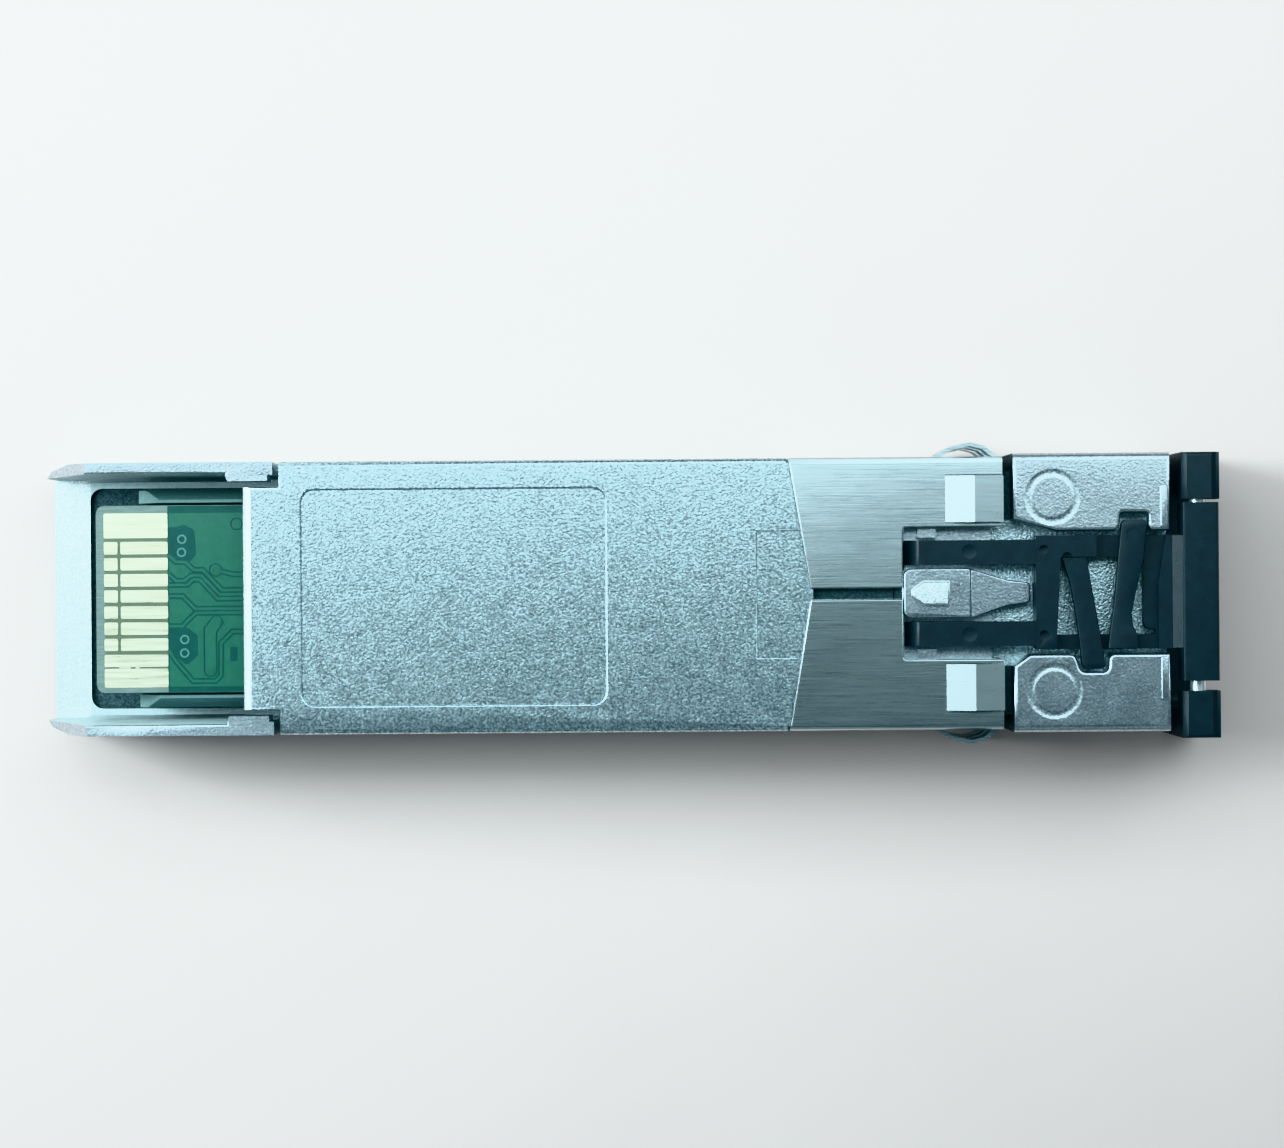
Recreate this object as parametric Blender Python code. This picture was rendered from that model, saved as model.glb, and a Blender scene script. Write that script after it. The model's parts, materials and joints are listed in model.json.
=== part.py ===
"""Pluggable optical transceiver module with a duplex receptacle, lying on its label face.

Frame: +X runs to the receptacle (front), +Z to the latch side, and the label face lies on Z = 0.
The origin is the middle of the module's footprint. Lengths are in millimetres until `MM` turns them
into metres. Every X position is counted from the latch shoulder, the datum that such modules are
dimensioned from, and `SHOULDER_X` places that datum in the frame.
"""

import math

import bmesh
import bpy
from mathutils import Matrix, Vector

MM = 0.001
SHOULDER_X = 15.815

# Overall body
BODY_HALF_WIDTH = 6.7
BODY_HEIGHT = 8.5
NOSE_HALF_WIDTH = 6.85
REAR_END = -45.0
NOSE_REAR = 3.22
NOSE_FRONT = 10.9
NOSE_EDGE_RADIUS = 0.35
LABEL_WALL = 0.7
SPLIT_HEIGHT = 4.4
GAP = 0.05
BEYOND = 8.0  # a sideways reach that clears every outer face
ABOVE = 9.5  # a height that clears the boss

# Rear bay, open on the latch side
BAY_FRONT = -33.1
WALL_TOP_START = -42.3
WALL_SLOPE_FOOT = 4.0
CORNER_TAPER = 1.0
BAY_WALL_INNER = 6.05
CAVITY_HALF_WIDTH = 5.9
POCKET_START = -43.2
POCKET_END = -30.0
POCKET_HALF_WIDTH = 5.63
POCKET_CORNER = 0.6
POCKET_FLOOR = 0.35
CAVITY_ROOF = 6.95
GUIDE_START = -40.2
GUIDE_INNER = 4.78
GUIDE_OUTER = 5.42
GUIDE_TOP = 5.9
GUIDE_TIP = 4.4
GUIDE_LEAD = 1.2
GUIDE_STEP = 5.15
RAIL_INNER = 4.9
RAIL_END = -20.5
CATCH_REAR = -35.5
CATCH_DEPTH = 0.28
CATCH_BOTTOM = 6.4

# Front block of the housing, with the receptacle and the latch pocket
BLOCK_REAR = -2.6
COLLAR_RECESS = 0.25
PORT_PITCH = 6.25
PORT_HALF = 2.3
PORT_AXIS_Z = 4.25
PORT_BACK = 0.9
OPTICS_WALL = -0.1
KEYWAY_HALF_WIDTH = 1.45
KEYWAY_FLOOR = 0.68
KEYWAY_BACK = 4.6
CHANNEL_FLOOR = 7.0
CHANNEL_HALF = 3.02
CHANNEL_MOUTH = (-3.6, 3.62)
CHANNEL_NECK = (4.0, 5.3)
NOTCH_HALF = 3.9
REAR_NOTCH = (6.22, 6.52, 7.87)
FRONT_NOTCH = (8.46, 9.84)
POCKET_REAR = -2.2
POCKET_HALF = 3.25
LATCH_POCKET_FLOOR = 7.35
PAD_REAR = -1.45
PAD_FRONT = -0.55
PAD_INNER = 2.74
PAD_TOP = 8.0
ISLAND_HALF = 1.2
ISLAND_TAPER_START = 1.1
ISLAND_NECK = (3.0, 0.62)
ISLAND_FRONT = 4.1
ISLAND_TIP_HALF = 0.5
RAMP_START_DEPTH = 0.1
RAMP_END_DEPTH = 0.75
BOSS_HEIGHT = 0.45
BOSS_HALF = 0.54
BOSS_TIP = -1.78
BOSS_TIP_HALF = 0.12
BOSS_CORNER = -1.2
BOSS_SLOPE = 0.15

# Groove between the collar and the nose, and under the collar's seam
GROOVE_TOP = 7.15
GROOVE_INNER = 1.2
GROOVE_SIDE = 6.0
GROOVE_LABEL_SIDE = 0.5
SEAM_FLOOR = 7.85

# Pedestal that the thermal pad lies on
PEDESTAL = (-18.2, -11.8)
PEDESTAL_HALF = 4.6
PEDESTAL_TOP = 3.5

# Cover
COVER_REAR = -34.6
COVER_SHOULDER = -32.8
COVER_FRONT = -2.65
COVER_PLATE_UNDERSIDE = 7.6
TONGUE_HALF = 5.45
TONGUE_UNDERSIDE = 7.35
RECESS_REAR = -31.7
RECESS_FRONT = -16.8
RECESS_HALF = 5.28
RECESS_DEPTH = 0.12

# Sheet-metal collar
COLLAR_REAR = -7.8
COLLAR_APEX = -6.7
COLLAR_FRONT = 2.7
COLLAR_SHEET = 0.2
SEAM_HALF = 0.28
CUTOUT_REAR = -2.2
CUTOUT_HALF = 3.25
FINGER_ROOT = -0.6
FINGER_PEAK = 1.2
FINGER_BOTTOM = 1.0
FINGER_PITCH = 2.45
FINGER_WIDTH = 1.75
FINGERS = 3
SIDE_FINGER_LIFT = 0.75
TENT_ROOT = -0.1
TENT_PEAK = 1.3
TENT_LIFT = 0.42
TENT_INNER = 3.41
TENT_OUTER = 5.83

# Circuit board
BOARD_END = -42.1
BOARD_FRONT = -9.0
BOARD_NECK_HALF = 4.65
BOARD_HALF = 5.5
BOARD_NECK_FRONT = -33.0
BOARD_BOTTOM = 5.25
BOARD_THICKNESS = 1.0
BOARD_TOP = BOARD_BOTTOM + BOARD_THICKNESS
SOLDER = 0.02

# Parts on the board: X, Y, length, width, height, and whether the part is on the latch side
HIGH_SPEED_CHIP_HEIGHT = 0.85
PARTS = {
    "laser_driver": (-15.0, 2.6, 3.0, 3.0, HIGH_SPEED_CHIP_HEIGHT, False),
    "receive_amplifier": (-15.0, -2.6, 3.0, 3.0, HIGH_SPEED_CHIP_HEIGHT, False),
    "controller": (-24.5, 0.6, 4.0, 4.0, 0.85, True),
    "memory_chip": (-29.5, -2.4, 2.9, 1.9, 0.7, True),
    "supply_inductor_tx": (-20.0, 3.6, 2.0, 1.4, 1.0, True),
    "supply_inductor_rx": (-20.0, -3.6, 2.0, 1.4, 1.0, True),
    "bulk_capacitor_tx": (-29.5, 3.2, 2.6, 1.5, 1.1, True),
    "bulk_capacitor_rx": (-24.5, -3.8, 2.0, 1.25, 1.0, True),
    "coupling_capacitor_tx": (-13.5, 1.2, 1.0, 0.5, 0.5, True),
    "coupling_capacitor_rx": (-13.5, -1.2, 1.0, 0.5, 0.5, True),
}

# Optical subassemblies
BARREL_TIP = 4.9
BARREL_RADIUS = 1.45
FLANGE_RADIUS = 2.35
CAN_RADIUS = 2.5
CAN_FRONT = -2.0
CAN_REAR = -6.4
HEADER_REAR = -7.3
BARREL_CHAMFER = 0.12
FERRULE_BORE = 0.98
SLEEVE_BORE = 0.64
FLANGE_DEPTH = 0.85
HEADER_RIM = 0.12
FLEX_THICKNESS = 0.12
FLEX_HALF = 1.7
FLEX_FOOT = 1.6
CLAMP_HALF = 5.7
CLAMP_HEIGHT = (0.75, 6.3)

# Latch slider and bail
TINE_TIP = -2.1
TINE_SHOULDER = -1.42
TINE_END = 4.6
TINE_INNER = 1.4
TINE_OUTER = 2.6
TINE_BOTTOM = 7.42
TINE_TOP = 8.42
RAIL_BOTTOM = 7.05
RAIL_TOP = 7.88
SLIDER_TOP = 8.46
SLIDER_REAR = 4.3
SLIDER_HALF = 2.8
FRONT_PLATE_TOP = 8.2
WINDOW_TOP = 1.72
WINDOW_BOTTOM = -2.08
WINDOW_REAR = (5.36, 5.57)
WINDOW_FRONT = 9.7
WINDOW_FOOT = 10.26
RAISED_END = 7.3
PLATE_EDGE = (10.37, 10.75)
PLATE_SLOPE = 11.05
# Plans of the leaf springs' two edges, each from the window's frame to the tip
REAR_ROOT = WINDOW_TOP - 0.02
REAR_LEAF_LEFT = ((5.62, REAR_ROOT), (6.0, 0.5), (6.2, -0.6), (6.39, -1.95), (6.58, -3.6), (6.7, -3.76))
REAR_LEAF_RIGHT = (
    (6.82, REAR_ROOT),
    (7.0, 0.6),
    (7.25, -0.8),
    (7.48, -2.11),
    (7.72, -3.66),
    (7.64, -3.78),
)
FRONT_ROOT = -SLIDER_HALF + 0.05
FRONT_LEAF_LEFT = (
    (8.57, 3.58),
    (8.38, 1.79),
    (8.3, 0.9),
    (8.22, 0.0),
    (8.1, -1.0),
    (7.95, -2.0),
    (7.85, FRONT_ROOT),
)
FRONT_LEAF_RIGHT = (
    (9.81, 3.56),
    (9.62, 1.63),
    (9.42, 0.8),
    (9.24, 0.05),
    (9.02, -1.0),
    (9.05, -1.6),
    (9.3, -2.1),
    (9.35, FRONT_ROOT),
)

# Head, bail and pin
HEAD_REAR = 11.5
HEAD_FRONT = 13.33
HEAD_HALF = 4.38
HEAD_BOTTOM = 6.7
PIN_X = 12.35
PIN_Z = 7.58
PIN_RADIUS = 0.4
PIN_COVER = 0.55
BAIL_FRONT = 13.37
BAIL_SHIFT = -0.17  # the bail's play along its pin, taken up to one side
KNUCKLE_INNER = 4.71
KNUCKLE_BOTTOM = 6.65
BAIL_HALF = 7.02
ARM_INNER = 5.65
CROSSBAR_BOTTOM = 0.03
CROSSBAR_TOP = 0.66

STEPS_ROUND = 20
STEPS_SMALL = 16


# ---------------------------------------------------------------- helpers


def clear_scene():
    for old in list(bpy.data.objects):
        bpy.data.objects.remove(old, do_unlink=True)


def place(x, y, z):
    """A point given in millimetres from the latch shoulder, in the frame, in metres."""
    return Vector(((x + SHOULDER_X) * MM, y * MM, z * MM))


def make_material(name, colour, roughness, metallic):
    made = bpy.data.materials.new(name)
    made.use_nodes = True
    shader = made.node_tree.nodes["Principled BSDF"]
    shader.inputs["Base Color"].default_value = (*colour, 1.0)
    shader.inputs["Roughness"].default_value = roughness
    shader.inputs["Metallic"].default_value = metallic
    made.diffuse_color = (*colour, 1.0)
    return made


def link_mesh(name, bm, material=None):
    """Closes a bmesh into an object whose faces point out."""
    bmesh.ops.recalc_face_normals(bm, faces=bm.faces)
    mesh = bpy.data.meshes.new(name)
    bm.to_mesh(mesh)
    bm.free()
    made = bpy.data.objects.new(name, mesh)
    bpy.context.scene.collection.objects.link(made)
    if material:
        mesh.materials.append(material)
    return made


def prism(outline, axis, low, high):
    """A bmesh of an outline extruded along X, Y or Z. The outline holds the two other coordinates."""
    order = {
        "X": lambda a, b, c: place(c, a, b),
        "Y": lambda a, b, c: place(a, c, b),
        "Z": lambda a, b, c: place(a, b, c),
    }[axis]
    bm = bmesh.new()
    rim = [bm.verts.new(order(a, b, low)) for a, b in outline]
    face = bm.faces.new(rim)
    grown = bmesh.ops.extrude_face_region(bm, geom=[face])
    top = [item for item in grown["geom"] if isinstance(item, bmesh.types.BMVert)]
    bmesh.ops.translate(bm, verts=top, vec=order(0, 0, high) - order(0, 0, low))
    return bm


def block(x, y, z):
    """A bmesh box from three (low, high) pairs."""
    return prism([(x[0], y[0]), (x[1], y[0]), (x[1], y[1]), (x[0], y[1])], "Z", *z)


def softened(corners, steps=4):
    """An outline whose corners are (a, b, radius), with each radius turned into an arc."""
    points = []
    count = len(corners)
    for i, (a, b, radius) in enumerate(corners):
        here = Vector((a, b))
        if not radius:
            points.append((a, b))
            continue
        back = (Vector(corners[i - 1][:2]) - here).normalized()
        ahead = (Vector(corners[(i + 1) % count][:2]) - here).normalized()
        half = back.angle(ahead) / 2
        centre = here + (back + ahead).normalized() * radius / math.sin(half)
        start = here + back * radius / math.tan(half) - centre
        turn = start.angle_signed(here + ahead * radius / math.tan(half) - centre)
        for k in range(steps + 1):
            angle = -turn * k / steps
            c, s = math.cos(angle), math.sin(angle)
            points.append(
                (centre.x + start.x * c - start.y * s, centre.y + start.x * s + start.y * c)
            )
    return points


def rounded_box(a, b, radius, steps=4):
    """A rectangle's outline from two (low, high) pairs, with round corners."""
    corners = [(a[0], b[0]), (a[1], b[0]), (a[1], b[1]), (a[0], b[1])]
    return softened([(p, q, radius) for p, q in corners], steps)


def turned(profile, y, z, steps=STEPS_ROUND):
    """A bmesh of a profile of (x, radius) turned about the line along X through (y, z)."""
    bm = bmesh.new()
    rings = []
    for x, radius in profile:
        if radius == 0:
            rings.append([bm.verts.new(place(x, y, z))])
            continue
        ring = []
        for k in range(steps):
            angle = 2 * math.pi * k / steps
            ring.append(
                bm.verts.new(place(x, y + radius * math.cos(angle), z + radius * math.sin(angle)))
            )
        rings.append(ring)
    pairs = list(zip(rings, rings[1:] + rings[:1]))
    for near, far in pairs:
        if len(near) == len(far) == 1:
            continue
        for k in range(steps):
            ring = [near[k % len(near)], near[(k + 1) % len(near)]]
            ring += [far[(k + 1) % len(far)], far[k % len(far)]]
            bm.faces.new(list(dict.fromkeys(ring)))
    return bm


def cylinder(axis, centre, low, high, radius, steps=STEPS_ROUND):
    """A bmesh cylinder along an axis. The centre holds the two other coordinates."""
    rim = [
        (
            centre[0] + radius * math.cos(2 * math.pi * k / steps),
            centre[1] + radius * math.sin(2 * math.pi * k / steps),
        )
        for k in range(steps)
    ]
    return prism(rim, axis, low, high)


def combine(target, bm, operation):
    """Adds or cuts a shape, which stays as a hidden tool of the target."""
    tool = link_mesh(target.name + "_tool", bm)
    tool.hide_render = True
    tool.display_type = "WIRE"
    step = target.modifiers.new(operation.lower(), "BOOLEAN")
    step.operation = operation
    step.solver = "EXACT"
    step.object = tool


def cut(target, bm):
    combine(target, bm, "DIFFERENCE")


def add(target, bm):
    combine(target, bm, "UNION")


def joint_empty(name, point):
    made = bpy.data.objects.new(name, None)
    made.location = point
    bpy.context.scene.collection.objects.link(made)
    return made


def hang_on(child, empty):
    """Parents a piece to its joint's empty, with the piece's origin on the joint."""
    child.data.transform(Matrix.Translation(-empty.matrix_basis.translation))
    child.parent = empty


# ---------------------------------------------------------------- housing


def rear_corner_cutter(side):
    """The plan taper of a rear corner, which leads the module into its cage."""
    y = BODY_HALF_WIDTH
    return prism(
        [
            (REAR_END - 1, side * (y - CORNER_TAPER * 0.8)),
            (REAR_END, side * (y - CORNER_TAPER * 0.8)),
            (REAR_END + CORNER_TAPER * 0.5, side * (y - CORNER_TAPER * 0.3)),
            (REAR_END + CORNER_TAPER * 1.6, side * y),
            (REAR_END + CORNER_TAPER * 1.6, side * (y + 1)),
            (REAR_END - 1, side * (y + 1)),
        ],
        "Z",
        -1,
        BODY_HEIGHT + 1,
    )


def nose_channel():
    """Plan of the channel in the nose's latch side, with a notch for each leaf spring's tip."""
    side = CHANNEL_HALF
    notch = NOTCH_HALF
    low_mouth, high_mouth = CHANNEL_MOUTH
    low_neck, high_neck = CHANNEL_NECK
    slope, rear, front = REAR_NOTCH
    rear_notch, front_notch = FRONT_NOTCH
    return softened(
        [
            (NOSE_REAR - 1, low_mouth, 0),
            (NOSE_REAR, low_mouth, 0),
            (low_neck, -side, 0.4),
            (slope, -side, 0.35),
            (rear, -notch, 0.3),
            (front, -notch, 0.3),
            (front, -side, 0.3),
            (NOSE_FRONT, -side, 0),
            (NOSE_FRONT + 1, -side, 0),
            (NOSE_FRONT + 1, side, 0),
            (NOSE_FRONT, side, 0),
            (front_notch, side, 0.25),
            (front_notch, notch, 0.15),
            (rear_notch, notch, 0.15),
            (rear_notch, side, 0.35),
            (high_neck, side, 0.6),
            (NOSE_REAR, high_mouth, 0),
            (NOSE_REAR - 1, high_mouth, 0),
        ],
        3,
    )


def build_housing(metal):
    """The die-cast half with the label wall, the side walls and the receptacle nose."""
    y = BODY_HALF_WIDTH
    side_profile = [
        (REAR_END, 0),
        (NOSE_REAR + 0.5, 0),
        (NOSE_REAR + 0.5, BODY_HEIGHT - COLLAR_RECESS),
        (BLOCK_REAR, BODY_HEIGHT - COLLAR_RECESS),
        (BLOCK_REAR, SPLIT_HEIGHT),
        (BAY_FRONT, SPLIT_HEIGHT),
        (BAY_FRONT, BODY_HEIGHT),
        (WALL_TOP_START, BODY_HEIGHT),
        (REAR_END, WALL_SLOPE_FOOT),
    ]
    housing = link_mesh("main_housing", prism(side_profile, "Y", -y, y), metal)
    for side in (-1, 1):
        cut(housing, rear_corner_cutter(side))
        recess = sorted([side * (y - COLLAR_RECESS), side * (y + 1)])
        cut(housing, block((COLLAR_REAR - 0.1, NOSE_REAR + 1), recess, (-1, BODY_HEIGHT + 1)))
    belly = (-BEYOND, BEYOND)
    cut(housing, block((COLLAR_REAR - 0.1, NOSE_REAR + 1), belly, (-1, COLLAR_RECESS)))
    half = NOSE_HALF_WIDTH
    nose_section = rounded_box((-half, half), (0, BODY_HEIGHT), NOSE_EDGE_RADIUS, 3)
    add(housing, prism(nose_section, "X", NOSE_REAR, NOSE_FRONT))
    bay_wall = BAY_WALL_INNER
    cut(housing, block((REAR_END - 1, BAY_FRONT + 0.2), (-bay_wall, bay_wall), (LABEL_WALL, ABOVE)))
    pocket_width = (-POCKET_HALF_WIDTH, POCKET_HALF_WIDTH)
    pocket = rounded_box((POCKET_START, POCKET_END), pocket_width, POCKET_CORNER)
    cut(housing, prism(pocket, "Z", POCKET_FLOOR, LABEL_WALL + 1))
    inner = CAVITY_HALF_WIDTH
    cut(housing, block((BAY_FRONT - 0.5, OPTICS_WALL), (-inner, inner), (LABEL_WALL, CAVITY_ROOF)))
    for side in (-1, 1):
        add(housing, board_guide(side))
        add(housing, board_rail(side))
        add(housing, wall_catch(side))
    half = PEDESTAL_HALF
    add(housing, block(PEDESTAL, (-half, half), (LABEL_WALL - 0.2, PEDESTAL_TOP)))
    cut_receptacle(housing)
    cut_latch_pocket(housing)
    cut_collar_groove(housing)
    return housing


def board_guide(side):
    """A rib beside the board's neck, with a sloped lead-in."""
    outline = [
        (GUIDE_START, POCKET_FLOOR - 0.15),
        (BAY_FRONT + 0.3, POCKET_FLOOR - 0.15),
        (BAY_FRONT + 0.3, GUIDE_STEP),
        (BAY_FRONT - 0.1, GUIDE_STEP),
        (BAY_FRONT - 0.1, GUIDE_TOP),
        (GUIDE_START + GUIDE_LEAD, GUIDE_TOP),
        (GUIDE_START, GUIDE_TIP),
    ]
    low, high = sorted([side * GUIDE_INNER, side * GUIDE_OUTER])
    return prism(outline, "Y", low, high)


def board_rail(side):
    """The shelf on a side wall that the wide part of the board lies on."""
    outline = [
        (side * RAIL_INNER, LABEL_WALL - 0.2),
        (side * (CAVITY_HALF_WIDTH + 0.1), LABEL_WALL - 0.2),
        (side * (CAVITY_HALF_WIDTH + 0.1), SPLIT_HEIGHT - 0.1),
        (side * (CAVITY_HALF_WIDTH - 0.15), SPLIT_HEIGHT),
        (side * (CAVITY_HALF_WIDTH - 0.15), BOARD_BOTTOM - GAP),
        (side * RAIL_INNER, BOARD_BOTTOM - GAP),
    ]
    return prism(outline, "X", BAY_FRONT + 0.1, RAIL_END)


def wall_catch(side):
    """The step inside a bay wall that holds down the cover's rear corner."""
    foot = side * (BAY_WALL_INNER + 0.2)
    face = side * (BAY_WALL_INNER - CATCH_DEPTH)
    outline = [
        (CATCH_REAR, foot),
        (CATCH_REAR + 0.2, face),
        (BAY_FRONT - 0.25, face),
        (BAY_FRONT - 0.25, foot),
    ]
    return prism(outline, "Z", CATCH_BOTTOM, BODY_HEIGHT - 0.02)


def cut_receptacle(housing):
    """Two square ports with keyways towards the label side, and a bore for each barrel."""
    for side in (-1, 1):
        y = side * PORT_PITCH / 2
        port = rounded_box(
            (y - PORT_HALF, y + PORT_HALF), (PORT_AXIS_Z - PORT_HALF, PORT_AXIS_Z + PORT_HALF), 0.2, 2
        )
        cut(housing, prism(port, "X", PORT_BACK, NOSE_FRONT + 1))
        keyway = [
            (y - KEYWAY_HALF_WIDTH, KEYWAY_FLOOR),
            (y + KEYWAY_HALF_WIDTH, KEYWAY_FLOOR),
            (y + KEYWAY_HALF_WIDTH, PORT_AXIS_Z),
            (y - KEYWAY_HALF_WIDTH, PORT_AXIS_Z),
        ]
        cut(housing, prism(keyway, "X", KEYWAY_BACK, NOSE_FRONT + 1))
        bore = cylinder("X", (y, PORT_AXIS_Z), OPTICS_WALL - 1, PORT_BACK + 1, BARREL_RADIUS + GAP)
        cut(housing, bore)


def cut_latch_pocket(housing):
    """The pocket for the slider's tines, the island with its boss, and the nose channel."""
    cut(housing, prism(nose_channel(), "Z", CHANNEL_FLOOR, BODY_HEIGHT + 1))
    pocket = rounded_box((POCKET_REAR + GAP, NOSE_REAR + 0.4), (-POCKET_HALF, POCKET_HALF), 0.15, 2)
    cut(housing, prism(pocket, "Z", LATCH_POCKET_FLOOR, BODY_HEIGHT + 1))
    for side in (-1, 1):
        low, high = sorted([side * PAD_INNER, side * (POCKET_HALF + 0.2)])
        add(housing, block((PAD_REAR, PAD_FRONT), (low, high), (CHANNEL_FLOOR, PAD_TOP)))
    rear = POCKET_REAR + 0.03
    taper = ISLAND_TAPER_START
    front = ISLAND_FRONT
    neck, neck_half = ISLAND_NECK
    island = softened(
        [
            (rear, -ISLAND_HALF, 0.35),
            (taper, -ISLAND_HALF, 0.2),
            (neck, -neck_half, 0),
            (front, -ISLAND_TIP_HALF, 0.2),
            (front, ISLAND_TIP_HALF, 0.2),
            (neck, neck_half, 0),
            (taper, ISLAND_HALF, 0.2),
            (rear, ISLAND_HALF, 0.35),
        ],
        3,
    )
    add(housing, prism(island, "Z", CHANNEL_FLOOR - 0.3, BODY_HEIGHT - 0.02))
    ramp = [
        (taper, BODY_HEIGHT - RAMP_START_DEPTH),
        (front + 0.5, BODY_HEIGHT - RAMP_END_DEPTH),
        (front + 0.5, BODY_HEIGHT + 1),
        (taper, BODY_HEIGHT + 1),
    ]
    cut(housing, prism(ramp, "Y", -ISLAND_HALF - 0.1, ISLAND_HALF + 0.1))
    add(housing, latch_boss())


def cut_collar_groove(housing):
    """The groove all round between the collar's front edge and the nose, and the one under the seam."""
    along = (COLLAR_FRONT + 0.03, NOSE_REAR)
    cut(housing, block(along, (-BEYOND, BEYOND), (-1, GROOVE_LABEL_SIDE)))
    for side in (-1, 1):
        beside_island = sorted([side * GROOVE_INNER, side * BEYOND])
        cut(housing, block(along, beside_island, (GROOVE_TOP, BODY_HEIGHT + 1)))
        flank = sorted([side * GROOVE_SIDE, side * BEYOND])
        cut(housing, block(along, flank, (-1, BODY_HEIGHT + 1)))
    half = SEAM_HALF - 0.03
    seam_end = POCKET_REAR + 0.02
    cut(housing, block((BLOCK_REAR - 0.1, seam_end), (-half, half), (SEAM_FLOOR, BODY_HEIGHT + 1)))


def latch_boss():
    """The wedge that the cage's latch tab drops behind: low at the rear, with a square front face."""
    plan = [
        (BOSS_TIP, -BOSS_TIP_HALF),
        (BOSS_CORNER, -BOSS_HALF),
        (0.0, -BOSS_HALF),
        (0.0, BOSS_HALF),
        (BOSS_CORNER, BOSS_HALF),
        (BOSS_TIP, BOSS_TIP_HALF),
    ]
    bm = prism(plan, "Z", BODY_HEIGHT - 0.3, BODY_HEIGHT + BOSS_HEIGHT)
    for vert in bm.verts:
        if vert.co.z > BODY_HEIGHT * MM:
            behind = -(vert.co.x / MM - SHOULDER_X)
            vert.co.z -= BOSS_SLOPE * behind * MM
    return bm


# ---------------------------------------------------------------- cover


def vee(outer_x, apex_x, half, front):
    """Plan of a shape whose rear edge is a shallow V that points forward."""
    return [(outer_x, -half), (front, -half), (front, half), (outer_x, half), (apex_x, 0)]


def build_cover(metal):
    """The die-cast latch-side cover, whose rear tongue sits between the housing's bay walls."""
    y = BODY_HALF_WIDTH
    section = softened(
        [
            (-y, SPLIT_HEIGHT + GAP, 0),
            (-CAVITY_HALF_WIDTH, SPLIT_HEIGHT + GAP, 0),
            (-CAVITY_HALF_WIDTH, COVER_PLATE_UNDERSIDE, 0.3),
            (CAVITY_HALF_WIDTH, COVER_PLATE_UNDERSIDE, 0.3),
            (CAVITY_HALF_WIDTH, SPLIT_HEIGHT + GAP, 0),
            (y, SPLIT_HEIGHT + GAP, 0),
            (y, BODY_HEIGHT, 0.25),
            (-y, BODY_HEIGHT, 0.25),
        ],
        2,
    )
    cover = link_mesh("bottom_cover", prism(section, "X", COVER_SHOULDER, COVER_FRONT), metal)
    tongue = softened(
        [
            (COVER_REAR, TONGUE_UNDERSIDE, 0),
            (COVER_SHOULDER + 0.5, TONGUE_UNDERSIDE, 0),
            (COVER_SHOULDER + 0.5, BODY_HEIGHT, 0),
            (COVER_REAR, BODY_HEIGHT, 0.35),
        ],
        2,
    )
    add(cover, prism(tongue, "Y", -TONGUE_HALF, TONGUE_HALF))
    recess = rounded_box((RECESS_REAR, RECESS_FRONT), (-RECESS_HALF, RECESS_HALF), 0.6)
    cut(cover, prism(recess, "Z", BODY_HEIGHT - RECESS_DEPTH, BODY_HEIGHT + 1))
    for side in (-1, 1):
        flank = sorted([side * (y - COLLAR_RECESS), side * (y + 1)])
        cut(cover, block((COLLAR_REAR - 0.1, COVER_FRONT + 1), flank, (-1, BODY_HEIGHT + 1)))
    step = vee(COLLAR_REAR - 0.22, COLLAR_APEX - 0.2, y + 1, COVER_FRONT + 1)
    cut(cover, prism(step, "Z", BODY_HEIGHT - COLLAR_RECESS, BODY_HEIGHT + 1))
    half = SEAM_HALF - 0.03
    seam = (COLLAR_APEX + 0.1, COVER_FRONT + 1)
    cut(cover, block(seam, (-half, half), (SEAM_FLOOR, BODY_HEIGHT + 1)))
    return cover


# ---------------------------------------------------------------- collar


def strip(profile, axis, low, high, thickness):
    """A bent strip of sheet: a line of (a, b) points, thickened to its left, extruded along an axis."""
    points = [Vector(p) for p in profile]
    offset = []
    for i, here in enumerate(points):
        before = points[max(i - 1, 0)]
        after = points[min(i + 1, len(points) - 1)]
        way_in = (here - before).normalized() if i else (after - here).normalized()
        way_out = (after - here).normalized() if i < len(points) - 1 else way_in
        mean = (way_in + way_out).normalized()
        normal = Vector((-mean.y, mean.x))
        reach = thickness / max(normal.dot(Vector((-way_in.y, way_in.x))), 0.3)
        offset.append(here + normal * reach)
    return prism([tuple(p) for p in points + offset[::-1]], axis, low, high)


def build_collar(steel):
    """The sprung shield collar: a folded sheet with an open seam, latch tents and side fingers."""
    y = BODY_HALF_WIDTH
    outer = rounded_box((-y, y), (0, BODY_HEIGHT), 0.3, 2)
    collar = link_mesh("emi_collar", prism(outer, "X", COLLAR_REAR, COLLAR_FRONT), steel)
    sheet = COLLAR_SHEET
    inside = rounded_box((-y + sheet, y - sheet), (sheet, BODY_HEIGHT - sheet), 0.1, 1)
    cut(collar, prism(inside, "X", COLLAR_REAR - 1, COLLAR_FRONT + 1))
    rear_cut = [
        (COLLAR_REAR - 1, -y - 1),
        (COLLAR_REAR, -y - 1),
        (COLLAR_REAR, -y),
        (COLLAR_APEX, 0),
        (COLLAR_REAR, y),
        (COLLAR_REAR, y + 1),
        (COLLAR_REAR - 1, y + 1),
    ]
    cut(collar, prism(rear_cut, "Z", BODY_HEIGHT - sheet - 0.05, BODY_HEIGHT + 1))
    seam = [(COLLAR_REAR - 1, -SEAM_HALF), (CUTOUT_REAR + 0.5, -SEAM_HALF)]
    seam += [(CUTOUT_REAR + 0.5, SEAM_HALF), (COLLAR_REAR - 1, SEAM_HALF)]
    cut(collar, prism(seam, "Z", BODY_HEIGHT - 1, BODY_HEIGHT + 1))
    window = rounded_box((CUTOUT_REAR, COLLAR_FRONT + 1), (-CUTOUT_HALF, CUTOUT_HALF), 0.15, 2)
    cut(collar, prism(window, "Z", BODY_HEIGHT - 1, BODY_HEIGHT + 1))
    for side in (-1, 1):
        add_latch_tent(collar, side)
        add_side_fingers(collar, side)
    return collar


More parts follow.
